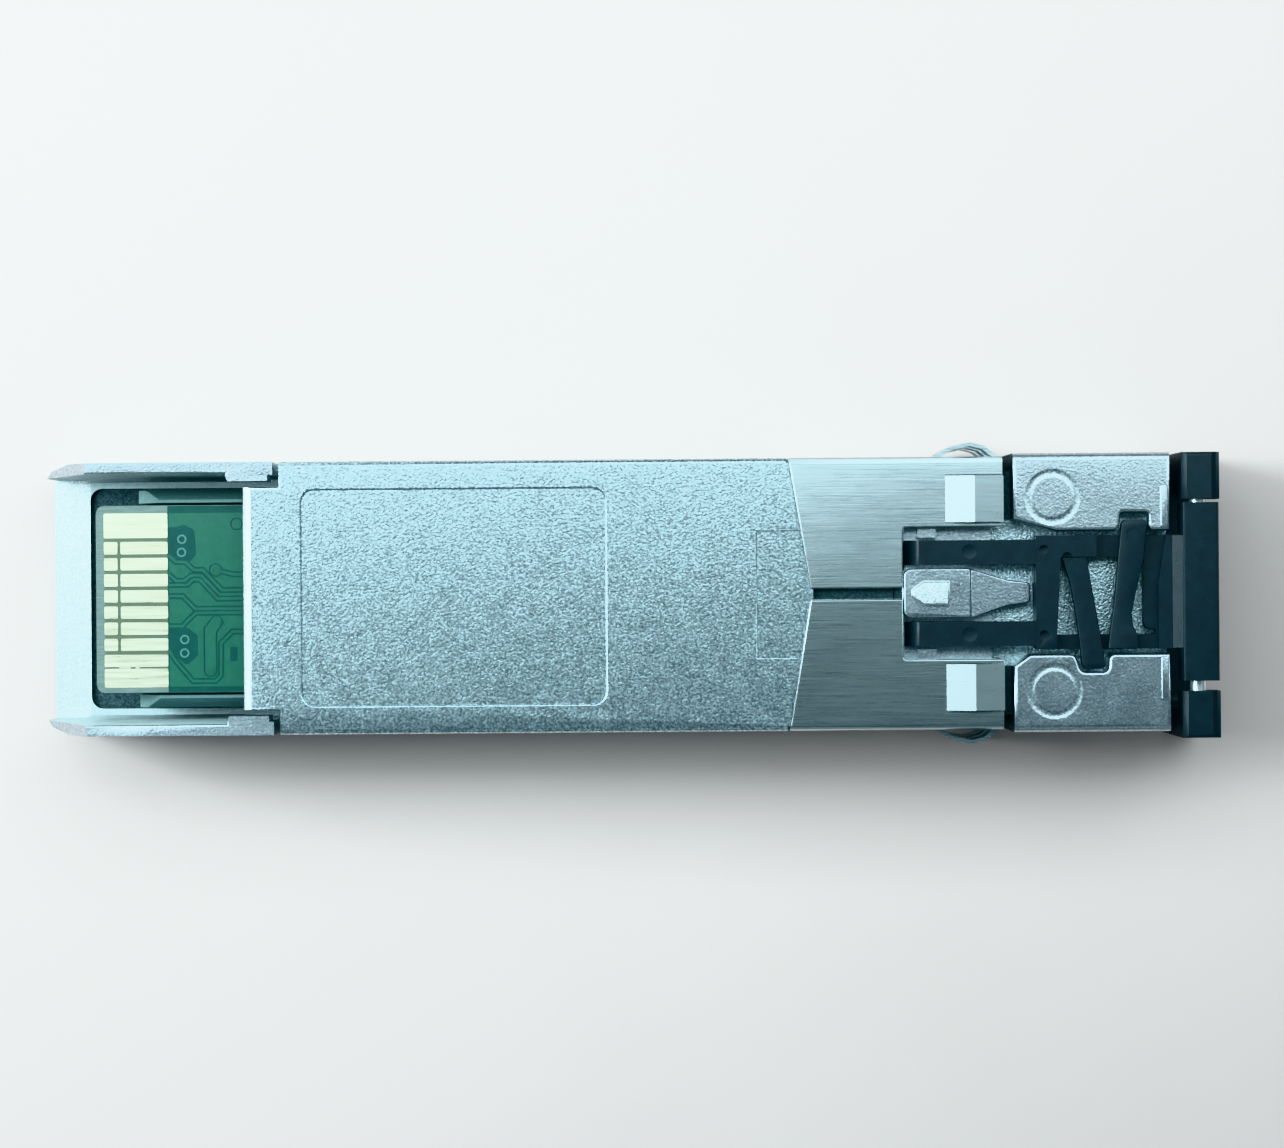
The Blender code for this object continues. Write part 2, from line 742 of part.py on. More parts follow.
def add_latch_tent(collar, side):
    """A raised spring on the latch side that presses on the cage's roof."""
    low, high = sorted([side * TENT_INNER, side * TENT_OUTER])
    roof = (BODY_HEIGHT - 1, BODY_HEIGHT + 1)
    cut(collar, block((TENT_ROOT, COLLAR_FRONT + 1), (low, high), roof))
    line = [
        (TENT_ROOT - 0.25, BODY_HEIGHT - COLLAR_SHEET),
        (TENT_ROOT, BODY_HEIGHT - COLLAR_SHEET),
        (TENT_PEAK, BODY_HEIGHT - COLLAR_SHEET + TENT_LIFT),
        (COLLAR_FRONT, BODY_HEIGHT - COLLAR_SHEET - 0.02),
    ]
    shrink = 0.08
    add(collar, strip(line, "Y", low + shrink, high - shrink, COLLAR_SHEET - 0.01))


def add_side_fingers(collar, side):
    """Three arched springs, one over the other, on a side of the collar."""
    y = BODY_HALF_WIDTH
    for k in range(FINGERS):
        bottom = FINGER_BOTTOM + FINGER_PITCH * k
        top = bottom + FINGER_WIDTH
        flank = sorted([side * (y - 0.6), side * (y + 1)])
        cut(collar, block((FINGER_ROOT, COLLAR_FRONT + 1), flank, (bottom, top)))
        inner = y - COLLAR_SHEET
        line = [
            (FINGER_ROOT - 0.25, inner),
            (FINGER_ROOT, inner),
            (FINGER_ROOT + 0.9, inner + SIDE_FINGER_LIFT * 0.72),
            (FINGER_PEAK, inner + SIDE_FINGER_LIFT),
            (FINGER_PEAK + 0.6, inner + SIDE_FINGER_LIFT * 0.8),
            (COLLAR_FRONT - 0.15, inner + 0.02),
        ]
        bm = strip(line, "Z", bottom + 0.12, top - 0.12, COLLAR_SHEET - 0.01)
        if side < 0:
            bmesh.ops.scale(bm, vec=(1, -1, 1), verts=bm.verts)
        add(collar, bm)


# ---------------------------------------------------------------- inside


def build_board(laminate):
    """The circuit board, with the edge connector on its narrow neck."""
    plan = softened(
        [
            (BOARD_END, -BOARD_NECK_HALF, 0.4),
            (BOARD_NECK_FRONT, -BOARD_NECK_HALF, 0),
            (BOARD_NECK_FRONT, -BOARD_HALF, 0.3),
            (BOARD_FRONT, -BOARD_HALF, 0.3),
            (BOARD_FRONT, BOARD_HALF, 0.3),
            (BOARD_NECK_FRONT, BOARD_HALF, 0.3),
            (BOARD_NECK_FRONT, BOARD_NECK_HALF, 0),
            (BOARD_END, BOARD_NECK_HALF, 0.4),
        ],
        3,
    )
    return link_mesh("circuit_board", prism(plan, "Z", BOARD_BOTTOM, BOARD_TOP), laminate)


def build_optics(name, side, metal, ceramic):
    """A transmitter or receiver can with its receptacle barrel, and the sleeve in the barrel."""
    y = side * PORT_PITCH / 2
    profile = [
        (BARREL_TIP, FERRULE_BORE),
        (BARREL_TIP, BARREL_RADIUS - BARREL_CHAMFER),
        (BARREL_TIP - BARREL_CHAMFER, BARREL_RADIUS),
        (OPTICS_WALL - GAP, BARREL_RADIUS),
        (OPTICS_WALL - GAP, FLANGE_RADIUS),
        (OPTICS_WALL - FLANGE_DEPTH, FLANGE_RADIUS),
        (OPTICS_WALL - FLANGE_DEPTH, BARREL_RADIUS),
        (CAN_FRONT, BARREL_RADIUS),
        (CAN_FRONT, CAN_RADIUS),
        (CAN_REAR, CAN_RADIUS),
        (CAN_REAR, CAN_RADIUS + HEADER_RIM),
        (HEADER_REAR, CAN_RADIUS + HEADER_RIM),
        (HEADER_REAR, 0),
        (PORT_BACK, 0),
        (PORT_BACK, FERRULE_BORE),
    ]
    bm = turned(profile, y, PORT_AXIS_Z)
    link_mesh(name, bm, metal)
    sleeve = [
        (BARREL_TIP - 0.4, SLEEVE_BORE),
        (BARREL_TIP - 0.4, FERRULE_BORE - GAP),
        (PORT_BACK + GAP, FERRULE_BORE - GAP),
        (PORT_BACK + GAP, SLEEVE_BORE),
    ]
    link_mesh(name + "_sleeve", turned(sleeve, y, PORT_AXIS_Z, STEPS_SMALL), ceramic)


def build_clamp(plastic):
    """The yoke that slides over both barrels and presses their flanges against the port wall."""
    rear = CAN_FRONT + GAP
    front = OPTICS_WALL - FLANGE_DEPTH - GAP
    width = (-CLAMP_HALF, CLAMP_HALF)
    clamp = link_mesh("optics_clamp", block((rear, front), width, CLAMP_HEIGHT), plastic)
    for side in (-1, 1):
        y = side * PORT_PITCH / 2
        r = BARREL_RADIUS + GAP
        slot = [(y + r, CLAMP_HEIGHT[1] + 1), (y - r, CLAMP_HEIGHT[1] + 1)]
        steps = 12
        for k in range(steps + 1):
            angle = math.pi + math.pi * k / steps
            slot.append((y + r * math.cos(angle), PORT_AXIS_Z + r * math.sin(angle)))
        cut(clamp, prism(slot, "X", rear - 1, front + 1))
    return clamp


def build_flex(name, side, on_top, film):
    """The flexible circuit that rises behind an optical can's header and lies on the board."""
    y = side * PORT_PITCH / 2
    board_face = BOARD_TOP + FLEX_THICKNESS + SOLDER if on_top else BOARD_BOTTOM - SOLDER
    header = HEADER_REAR - 0.03
    line = [
        (header, PORT_AXIS_Z - FLEX_FOOT),
        (header, board_face - 0.7),
        (header - 0.25, board_face - 0.25),
        (header - 0.8, board_face),
        (BOARD_FRONT - 2.4, board_face),
    ]
    bm = strip(line, "Y", y - FLEX_HALF, y + FLEX_HALF, FLEX_THICKNESS)
    return link_mesh(name, bm, film)


def chip(name, x, y, length, width, height, on_top, material):
    """A surface-mounted part on a face of the board, with a chamfered upper rim."""
    low = BOARD_TOP + SOLDER if on_top else BOARD_BOTTOM - SOLDER
    way = 1 if on_top else -1
    bm = block(
        (x - length / 2, x + length / 2),
        (y - width / 2, y + width / 2),
        tuple(sorted([low, low + way * height])),
    )
    bmesh.ops.recalc_face_normals(bm, faces=bm.faces)
    outer = (low + way * height) * MM
    rim = [e for e in bm.edges if all(abs(v.co.z - outer) < 1e-6 for v in e.verts)]
    bmesh.ops.bevel(bm, geom=rim, offset=0.1 * MM, segments=1, affect="EDGES", profile=0.5)
    return link_mesh(name, bm, material)


def build_components(package, ceramic, tin, pad):
    for name, where in PARTS.items():
        material = package
        if "capacitor" in name:
            material = ceramic
        if "inductor" in name:
            material = tin
        chip(name, *where, material)
    top = BOARD_BOTTOM - SOLDER - HIGH_SPEED_CHIP_HEIGHT - GAP
    along = (PEDESTAL[0] + 0.6, PEDESTAL[1] - 0.6)
    across = PEDESTAL_HALF - 0.2
    link_mesh("thermal_pad", block(along, (-across, across), (PEDESTAL_TOP + 0.03, top)), pad)


# ---------------------------------------------------------------- latch release


def tine(side):
    """One of the slider's two fingers, ending in the wedge that lifts the cage's latch tab."""
    outline = [
        (TINE_TIP, TINE_BOTTOM),
        (TINE_END, TINE_BOTTOM),
        (TINE_END, TINE_TOP),
        (TINE_SHOULDER, TINE_TOP),
        (TINE_SHOULDER - 0.16, TINE_TOP - 0.1),
        (TINE_TIP, TINE_BOTTOM + 0.28),
    ]
    low, high = sorted([side * TINE_INNER, side * TINE_OUTER])
    return prism(outline, "Y", low, high)


def build_slider(plastic):
    """The latch slider: tines, cross plate, two rails, front plate and the head that carries the bail."""
    rear = SLIDER_REAR
    half = SLIDER_HALF
    high = WINDOW_TOP
    low = WINDOW_BOTTOM
    plate_end = HEAD_REAR + 0.2
    frame_plan = rounded_box((rear, plate_end), (-half, half), 0.1, 2)
    slider = link_mesh("latch_slider", prism(frame_plan, "Z", RAIL_BOTTOM, RAIL_TOP), plastic)
    window = softened(
        [
            (WINDOW_REAR[0], low, 0.1),
            (WINDOW_FOOT, low, 0.1),
            (WINDOW_FOOT, low + 0.25, 0.1),
            (WINDOW_FRONT, low + 0.35, 0.2),
            (WINDOW_FRONT, high, 0.1),
            (WINDOW_REAR[1], high, 0.1),
        ],
        3,
    )
    cut(slider, prism(window, "Z", RAIL_BOTTOM - 1, SLIDER_TOP + 1))
    edge = half - 0.02
    raised = softened(
        [
            (rear + 0.02, -edge, 0.1),
            (WINDOW_REAR[0] - 0.02, -edge, 0.1),
            (WINDOW_REAR[0] - 0.02, low, 0),
            (WINDOW_REAR[1] - 0.02, high + 0.02, 0),
            (RAISED_END, high + 0.02, 0.1),
            (RAISED_END, edge, 0.1),
            (rear + 0.02, edge, 0.1),
        ],
        2,
    )
    add(slider, prism(raised, "Z", RAIL_TOP - 0.2, SLIDER_TOP))
    front_plate = [
        (PLATE_EDGE[0] - 0.02, -edge),
        (plate_end + 0.1, -edge),
        (plate_end + 0.1, edge),
        (PLATE_EDGE[1], edge),
        (PLATE_EDGE[0], 0.5),
    ]
    add(slider, prism(front_plate, "Z", RAIL_TOP - 0.2, FRONT_PLATE_TOP))
    slope = [
        (PLATE_SLOPE, RAIL_TOP),
        (HEAD_REAR + 0.4, RAIL_TOP),
        (HEAD_REAR + 0.4, BODY_HEIGHT - 0.1),
        (HEAD_REAR + 0.05, BODY_HEIGHT - 0.1),
        (PLATE_SLOPE, FRONT_PLATE_TOP + 0.01),
    ]
    add(slider, prism(slope, "Y", -edge + 0.02, edge - 0.02))
    for side in (-1, 1):
        add(slider, tine(side))
    head = softened(
        [
            (HEAD_REAR, HEAD_BOTTOM, 0.2),
            (HEAD_FRONT, HEAD_BOTTOM, 0.2),
            (HEAD_FRONT, BODY_HEIGHT, 0.25),
            (HEAD_REAR, BODY_HEIGHT, 0.2),
        ],
        2,
    )
    add(slider, prism(head, "Y", -HEAD_HALF, HEAD_HALF))
    cut(slider, cylinder("Y", (PIN_X, PIN_Z), -BEYOND, BEYOND, PIN_RADIUS + 0.03, STEPS_SMALL))
    return slider


def leaf(name, left, right, material):
    """A flat spring bar of the slider, from its root to the tip that stays in a cheek's notch."""
    outline = list(left) + list(right)[::-1]
    return link_mesh(name, prism(outline, "Z", RAIL_TOP + 0.03, SLIDER_TOP - 0.06), material)


def build_leaves(plastic):
    return [
        leaf("leaf_spring_rear", REAR_LEAF_LEFT, REAR_LEAF_RIGHT, plastic),
        leaf("leaf_spring_front", FRONT_LEAF_LEFT, FRONT_LEAF_RIGHT, plastic),
    ]


def build_pin(steel):
    reach = BAIL_HALF - PIN_COVER
    rod = cylinder("Y", (PIN_X, PIN_Z), -reach, reach, PIN_RADIUS, STEPS_SMALL)
    return link_mesh("bail_pin", rod, steel)


def build_bail(plastic):
    """The pull handle: two knuckles on the pin, two arms and a thin crossbar by the label face."""
    front = BAIL_FRONT
    rear = HEAD_REAR
    bail = link_mesh(
        "bail",
        prism(
            softened(
                [
                    (-BAIL_HALF, CROSSBAR_BOTTOM, 0.6),
                    (BAIL_HALF, CROSSBAR_BOTTOM, 0.6),
                    (BAIL_HALF, BODY_HEIGHT, 0.2),
                    (KNUCKLE_INNER, BODY_HEIGHT, 0),
                    (KNUCKLE_INNER, KNUCKLE_BOTTOM, 0.2),
                    (ARM_INNER, KNUCKLE_BOTTOM, 0.3),
                    (ARM_INNER, CROSSBAR_TOP, 0.4),
                    (-ARM_INNER, CROSSBAR_TOP, 0.4),
                    (-ARM_INNER, KNUCKLE_BOTTOM, 0.3),
                    (-KNUCKLE_INNER, KNUCKLE_BOTTOM, 0.2),
                    (-KNUCKLE_INNER, BODY_HEIGHT, 0),
                    (-BAIL_HALF, BODY_HEIGHT, 0.2),
                ],
                3,
            ),
            "X",
            rear,
            front,
        ),
        plastic,
    )
    heel = [
        (rear - 1, BODY_HEIGHT + 1),
        (rear - 1, BODY_HEIGHT - 0.25),
        (rear, BODY_HEIGHT - 0.25),
        (rear + 0.25, BODY_HEIGHT),
        (rear + 0.25, BODY_HEIGHT + 1),
    ]
    cut(bail, prism(heel, "Y", -BEYOND, BEYOND))
    cut(bail, prism([(2 * PIN_X - a, b) for a, b in heel], "Y", -BEYOND, BEYOND))
    for side in (-1, 1):
        low, high = sorted([side * (KNUCKLE_INNER - 1), side * (BAIL_HALF - 0.45)])
        cut(bail, cylinder("Y", (PIN_X, PIN_Z), low, high, PIN_RADIUS + 0.04, STEPS_SMALL))
    return bail


# ---------------------------------------------------------------- assembly


def main():
    clear_scene()
    cast = make_material("die_cast_metal", (0.62, 0.66, 0.67), 0.42, 1.0)
    steel = make_material("brushed_steel", (0.66, 0.69, 0.70), 0.3, 1.0)
    laminate = make_material("board_laminate", (0.02, 0.22, 0.12), 0.4, 0.0)
    plastic = make_material("black_plastic", (0.02, 0.035, 0.045), 0.45, 0.0)
    can = make_material("can_metal", (0.7, 0.62, 0.42), 0.3, 1.0)
    ceramic = make_material("ceramic", (0.75, 0.68, 0.55), 0.4, 0.0)
    film = make_material("polyimide_film", (0.55, 0.3, 0.05), 0.35, 0.0)
    package = make_material("chip_package", (0.03, 0.03, 0.03), 0.5, 0.0)
    tin = make_material("tinned_metal", (0.7, 0.7, 0.68), 0.35, 1.0)
    pad = make_material("thermal_rubber", (0.5, 0.6, 0.68), 0.8, 0.0)

    build_housing(cast)
    build_cover(cast)
    build_collar(steel)
    build_board(laminate)
    build_optics("transmitter_can", 1, can, ceramic)
    build_optics("receiver_can", -1, can, ceramic)
    build_clamp(plastic)
    build_flex("transmitter_flex", 1, True, film)
    build_flex("receiver_flex", -1, False, film)
    build_components(package, ceramic, tin, pad)

    slide = joint_empty("slider_joint", place(0, 0, BODY_HEIGHT))
    hang_on(build_slider(plastic), slide)
    for spring in build_leaves(plastic):
        hang_on(spring, slide)
    hang_on(build_pin(steel), slide)
    hinge = joint_empty("bail_joint", place(PIN_X, 0, PIN_Z))
    bail = build_bail(plastic)
    hang_on(bail, hinge)
    bail.location.y = BAIL_SHIFT * MM
    bpy.context.view_layer.update()


main()
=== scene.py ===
"""Looks of the pluggable optical transceiver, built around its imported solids.

Lengths are in millimetres until `MM` turns them into metres. X positions count from the latch shoulder,
whose place in the frame is the record's mount of that name. +Z is the latch side.
"""

import json
import math

import bmesh
import bpy
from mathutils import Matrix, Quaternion, Vector


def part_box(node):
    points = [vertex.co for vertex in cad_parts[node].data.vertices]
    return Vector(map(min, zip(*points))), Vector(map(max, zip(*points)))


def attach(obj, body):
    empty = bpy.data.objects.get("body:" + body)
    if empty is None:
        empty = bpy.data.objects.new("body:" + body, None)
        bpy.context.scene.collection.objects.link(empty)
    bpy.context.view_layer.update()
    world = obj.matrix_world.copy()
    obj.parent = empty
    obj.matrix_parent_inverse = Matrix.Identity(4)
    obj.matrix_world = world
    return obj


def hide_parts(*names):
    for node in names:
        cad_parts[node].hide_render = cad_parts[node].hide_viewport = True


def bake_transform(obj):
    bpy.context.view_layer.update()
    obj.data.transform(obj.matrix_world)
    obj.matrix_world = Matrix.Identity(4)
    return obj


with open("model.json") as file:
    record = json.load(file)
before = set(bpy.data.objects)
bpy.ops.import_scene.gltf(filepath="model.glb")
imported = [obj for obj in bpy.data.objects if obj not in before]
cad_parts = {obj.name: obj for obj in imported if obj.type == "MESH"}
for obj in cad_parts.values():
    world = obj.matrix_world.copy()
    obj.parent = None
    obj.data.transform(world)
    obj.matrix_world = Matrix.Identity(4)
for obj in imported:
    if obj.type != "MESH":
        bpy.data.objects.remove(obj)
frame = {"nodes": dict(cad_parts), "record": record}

MM = 0.001
MOUNTS = {m["name"]: m for m in frame["record"]["mounts"]}
SHOULDER_X = MOUNTS["latch_shoulder"]["pos_m"][0] / MM
TOP = MOUNTS["cover_face"]["pos_m"][2] / MM
BODY_OF = {n: b for b, ns in frame["record"]["behaviour"]["bodies"].items() for n in ns}
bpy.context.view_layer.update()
ROUND_STEPS = 32
TURNED_STEPS = 72
MERGE_DISTANCE = 0.0002


# ---------------------------------------------------------------- shapes


def place(x, y, z):
    return Vector(((x + SHOULDER_X) * MM, y * MM, z * MM))


def box_mm(node):
    """A CAD node's box, in millimetres from the latch shoulder."""
    low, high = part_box(node)
    shift = Vector((SHOULDER_X, 0, 0))
    return low / MM - shift, high / MM - shift


def prism(outline, axis, low, high):
    """A bmesh of an outline extruded along X, Y or Z. The outline holds the two other coordinates."""
    order = {
        "X": lambda a, b, c: place(c, a, b),
        "Y": lambda a, b, c: place(a, c, b),
        "Z": lambda a, b, c: place(a, b, c),
    }[axis]
    bm = bmesh.new()
    rim = [bm.verts.new(order(a, b, low)) for a, b in outline]
    face = bm.faces.new(rim)
    grown = bmesh.ops.extrude_face_region(bm, geom=[face])
    top = [item for item in grown["geom"] if isinstance(item, bmesh.types.BMVert)]
    bmesh.ops.translate(bm, verts=top, vec=order(0, 0, high) - order(0, 0, low))
    bmesh.ops.recalc_face_normals(bm, faces=bm.faces)
    return bm


def block(x, y, z):
    return prism([(x[0], y[0]), (x[1], y[0]), (x[1], y[1]), (x[0], y[1])], "Z", *z)


def softened(corners, steps=5):
    """An outline whose corners are (a, b, radius), with each radius turned into an arc."""
    points = []
    count = len(corners)
    for i, (a, b, radius) in enumerate(corners):
        here = Vector((a, b))
        if not radius:
            points.append((a, b))
            continue
        back = (Vector(corners[i - 1][:2]) - here).normalized()
        ahead = (Vector(corners[(i + 1) % count][:2]) - here).normalized()
        half = back.angle(ahead) / 2
        centre = here + (back + ahead).normalized() * radius / math.sin(half)
        start = here + back * radius / math.tan(half) - centre
        turn = start.angle_signed(here + ahead * radius / math.tan(half) - centre)
        for k in range(steps + 1):
            angle = -turn * k / steps
            c, s = math.cos(angle), math.sin(angle)
            points.append(
                (centre.x + start.x * c - start.y * s, centre.y + start.x * s + start.y * c)
            )
    return points


def rounded_box(a, b, radius):
    corners = [(a[0], b[0]), (a[1], b[0]), (a[1], b[1]), (a[0], b[1])]
    return softened([(p, q, radius) for p, q in corners], 3)


def circle(centre, radius, steps):
    return [
        (
            centre[0] + radius * math.cos(2 * math.pi * k / steps),
            centre[1] + radius * math.sin(2 * math.pi * k / steps),
        )
        for k in range(steps)
    ]


def turned_about_z(centre, profile, steps):
    """A bmesh ring whose section, a closed line of (radius, z), is turned about a line along Z."""
    bm = bmesh.new()
    rims = []
    for radius, z in profile:
        rims.append([bm.verts.new(place(x, y, z)) for x, y in circle(centre, radius, steps)])
    for near, far in zip(rims, rims[1:] + rims[:1]):
        for k in range(steps):
            bm.faces.new([near[k], near[(k + 1) % steps], far[(k + 1) % steps], far[k]])
    bmesh.ops.recalc_face_normals(bm, faces=bm.faces)
    return bm


def ring(centre, inner, outer, low, high):
    return turned_about_z(centre, [(inner, low), (outer, low), (outer, high), (inner, high)], ROUND_STEPS)


def disc(centre, radius, low, high):
    return prism(circle(centre, radius, ROUND_STEPS), "Z", low, high)


def turned(profile, y, z):
    """A bmesh of a profile of (x, radius) turned about the line along X through (y, z)."""
    bm = bmesh.new()
    rims = []
    for x, radius in profile:
        if radius:
            line = circle((y, z), radius, TURNED_STEPS)
            rims.append([bm.verts.new(place(x, a, b)) for a, b in line])
        else:
            rims.append([bm.verts.new(place(x, y, z))])
    for near, far in zip(rims, rims[1:] + rims[:1]):
        if len(near) == len(far) == 1:
            continue
        for k in range(TURNED_STEPS):
            ends = [near[k % len(near)], near[(k + 1) % len(near)]]
            ends += [far[(k + 1) % len(far)], far[k % len(far)]]
            bm.faces.new(list(dict.fromkeys(ends)))
    bmesh.ops.recalc_face_normals(bm, faces=bm.faces)
    return bm


def band(points, width):
    """The outline of a line of points drawn with a width. A sharp bend's corner is kept short."""
    line = [Vector(p) for p in points]
    left, right = [], []
    for i, here in enumerate(line):
        way_in = (here - line[i - 1]).normalized() if i else (line[1] - here).normalized()
        way_out = (line[i + 1] - here).normalized() if i < len(line) - 1 else way_in
        mean = (way_in + way_out).normalized()
        normal = Vector((-mean.y, mean.x))
        reach = width / 2 / max(normal.dot(Vector((-way_in.y, way_in.x))), 0.3)
        left.append(tuple(here + normal * reach))
        right.append(tuple(here - normal * reach))
    return left + right[::-1]


def joined(parts):
    """One bmesh from several."""
    whole = bmesh.new()
    for part in parts:
        mesh = bpy.data.meshes.new("part")
        part.to_mesh(mesh)
        part.free()
        whole.from_mesh(mesh)
        bpy.data.meshes.remove(mesh)
    return whole


def link_mesh(name, bm, material):
    mesh = bpy.data.meshes.new(name)
    bm.to_mesh(mesh)
    bm.free()
    made = bpy.data.objects.new(name, mesh)
    bpy.context.scene.collection.objects.link(made)
    made.data.materials.append(material)
    return made


def apply_modifiers(obj):
    """Bakes an object's modifiers into its mesh."""
    bpy.context.view_layer.update()
    graph = bpy.context.evaluated_depsgraph_get()
    mesh = bpy.data.meshes.new_from_object(obj.evaluated_get(graph))
    obj.modifiers.clear()
    obj.data = mesh


def combine(target, bm, operation):
    """Adds or cuts a shape in a mesh, for good."""
    tool_mesh = bpy.data.meshes.new("tool")
    bm.to_mesh(tool_mesh)
    bm.free()
    tool = bpy.data.objects.new("tool", tool_mesh)
    bpy.context.scene.collection.objects.link(tool)
    step = target.modifiers.new("combine", "BOOLEAN")
    step.operation = operation
    step.solver = "EXACT"
    step.object = tool
    apply_modifiers(target)
    bpy.data.objects.remove(tool)


def cut(target, bm):
    combine(target, bm, "DIFFERENCE")


def add(target, bm):
    combine(target, bm, "UNION")


def clean(mesh):
    """Joins split corners and flat neighbouring triangles of a mesh."""
    bm = bmesh.new()
    bm.from_mesh(mesh)
    bmesh.ops.remove_doubles(bm, verts=bm.verts, dist=MERGE_DISTANCE * MM)
    bmesh.ops.dissolve_limit(
        bm, angle_limit=math.radians(0.5), verts=bm.verts, edges=bm.edges, delimit={"NORMAL"}
    )
    bm.to_mesh(mesh)
    bm.free()


def refined(node, name):
    """A clean copy of a CAD node, which it stands for and which finish work may cut and bevel."""
    mesh = frame["nodes"][node].data.copy()
    mesh.materials.clear()
    clean(mesh)
    if "custom_normal" in mesh.attributes:
        mesh.attributes.remove(mesh.attributes["custom_normal"])
    made = bpy.data.objects.new(name, mesh)
    bpy.context.scene.collection.objects.link(made)
    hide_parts(node)
    return made


def round_edges(obj, width, test, segments=3):
    """Rounds the sharp edges whose two ends, in millimetres from the latch shoulder, pass a test."""
    sharp = math.radians(35)
    bm = bmesh.new()
    bm.from_mesh(obj.data)
    weights = bm.edges.layers.float.new("bevel_weight_edge")
    for edge in bm.edges:
        ends = [vert.co / MM - Vector((SHOULDER_X, 0, 0)) for vert in edge.verts]
        if len(edge.link_faces) == 2 and edge.calc_face_angle() > sharp:
            edge[weights] = 1.0 if all(test(*end) for end in ends) else 0.0
    bm.to_mesh(obj.data)
    bm.free()
    step = obj.modifiers.new("rounding", "BEVEL")
    step.width = width * MM
    step.segments = segments
    step.limit_method = "WEIGHT"
    step.use_clamp_overlap = False
    apply_modifiers(obj)
    obj.data.attributes.remove(obj.data.attributes["bevel_weight_edge"])


def smooth(obj, crease=50):
    """Shades the rounded edges smoothly and keeps the flats flat, and creases as sharp as an angle."""
    obj.data.shade_smooth()
    obj.data.set_sharp_from_angle(angle=math.radians(crease))
    weigh = obj.modifiers.new("weighted_normals", "WEIGHTED_NORMAL")
    weigh.keep_sharp = True
    apply_modifiers(obj)


def soften_edges(obj, width, segments=2):
    """Rounds every edge that turns by more than 28 degrees, as far as its neighbours leave room."""
    step = obj.modifiers.new("rounding", "BEVEL")
    step.width = width * MM
    step.segments = segments
    step.limit_method = "ANGLE"
    step.angle_limit = math.radians(28)
    step.use_clamp_overlap = True
    step.miter_outer = "MITER_ARC"
    apply_modifiers(obj)
    smooth(obj)


def dress(obj, node, material):
    """Gives an object its first material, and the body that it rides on."""
    obj.data.materials.clear()
    obj.data.materials.append(material)
    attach(obj, BODY_OF[node])


def split_faces(obj, x):
    """Divides the faces that cross a place along X, so that each side may take its own material."""
    bm = bmesh.new()
    bm.from_mesh(obj.data)
    everything = bm.verts[:] + bm.edges[:] + bm.faces[:]
    bmesh.ops.bisect_plane(bm, geom=everything, plane_co=place(x, 0, 0), plane_no=(1, 0, 0))
    bm.to_mesh(obj.data)
    bm.free()


def paint(obj, material, test):
    """Gives a material to the faces whose middle, in millimetres from the latch shoulder, passes a test."""
    obj.data.materials.append(material)
    index = len(obj.data.materials) - 1
    for face in obj.data.polygons:
        middle = face.center / MM
        if test(middle.x - SHOULDER_X, middle.y, middle.z, face.normal):
            face.material_index = index


# ---------------------------------------------------------------- materials


# Turns the noise, so that no flat face lies along its own grid.
GRAIN_TURN = (0.6, 0.4, 0.0)
# How steeply the collar's -Y flap falls away from the middle, and its width.
FLAP_LEAN = 0.032
FLAP_WIDTH = 8


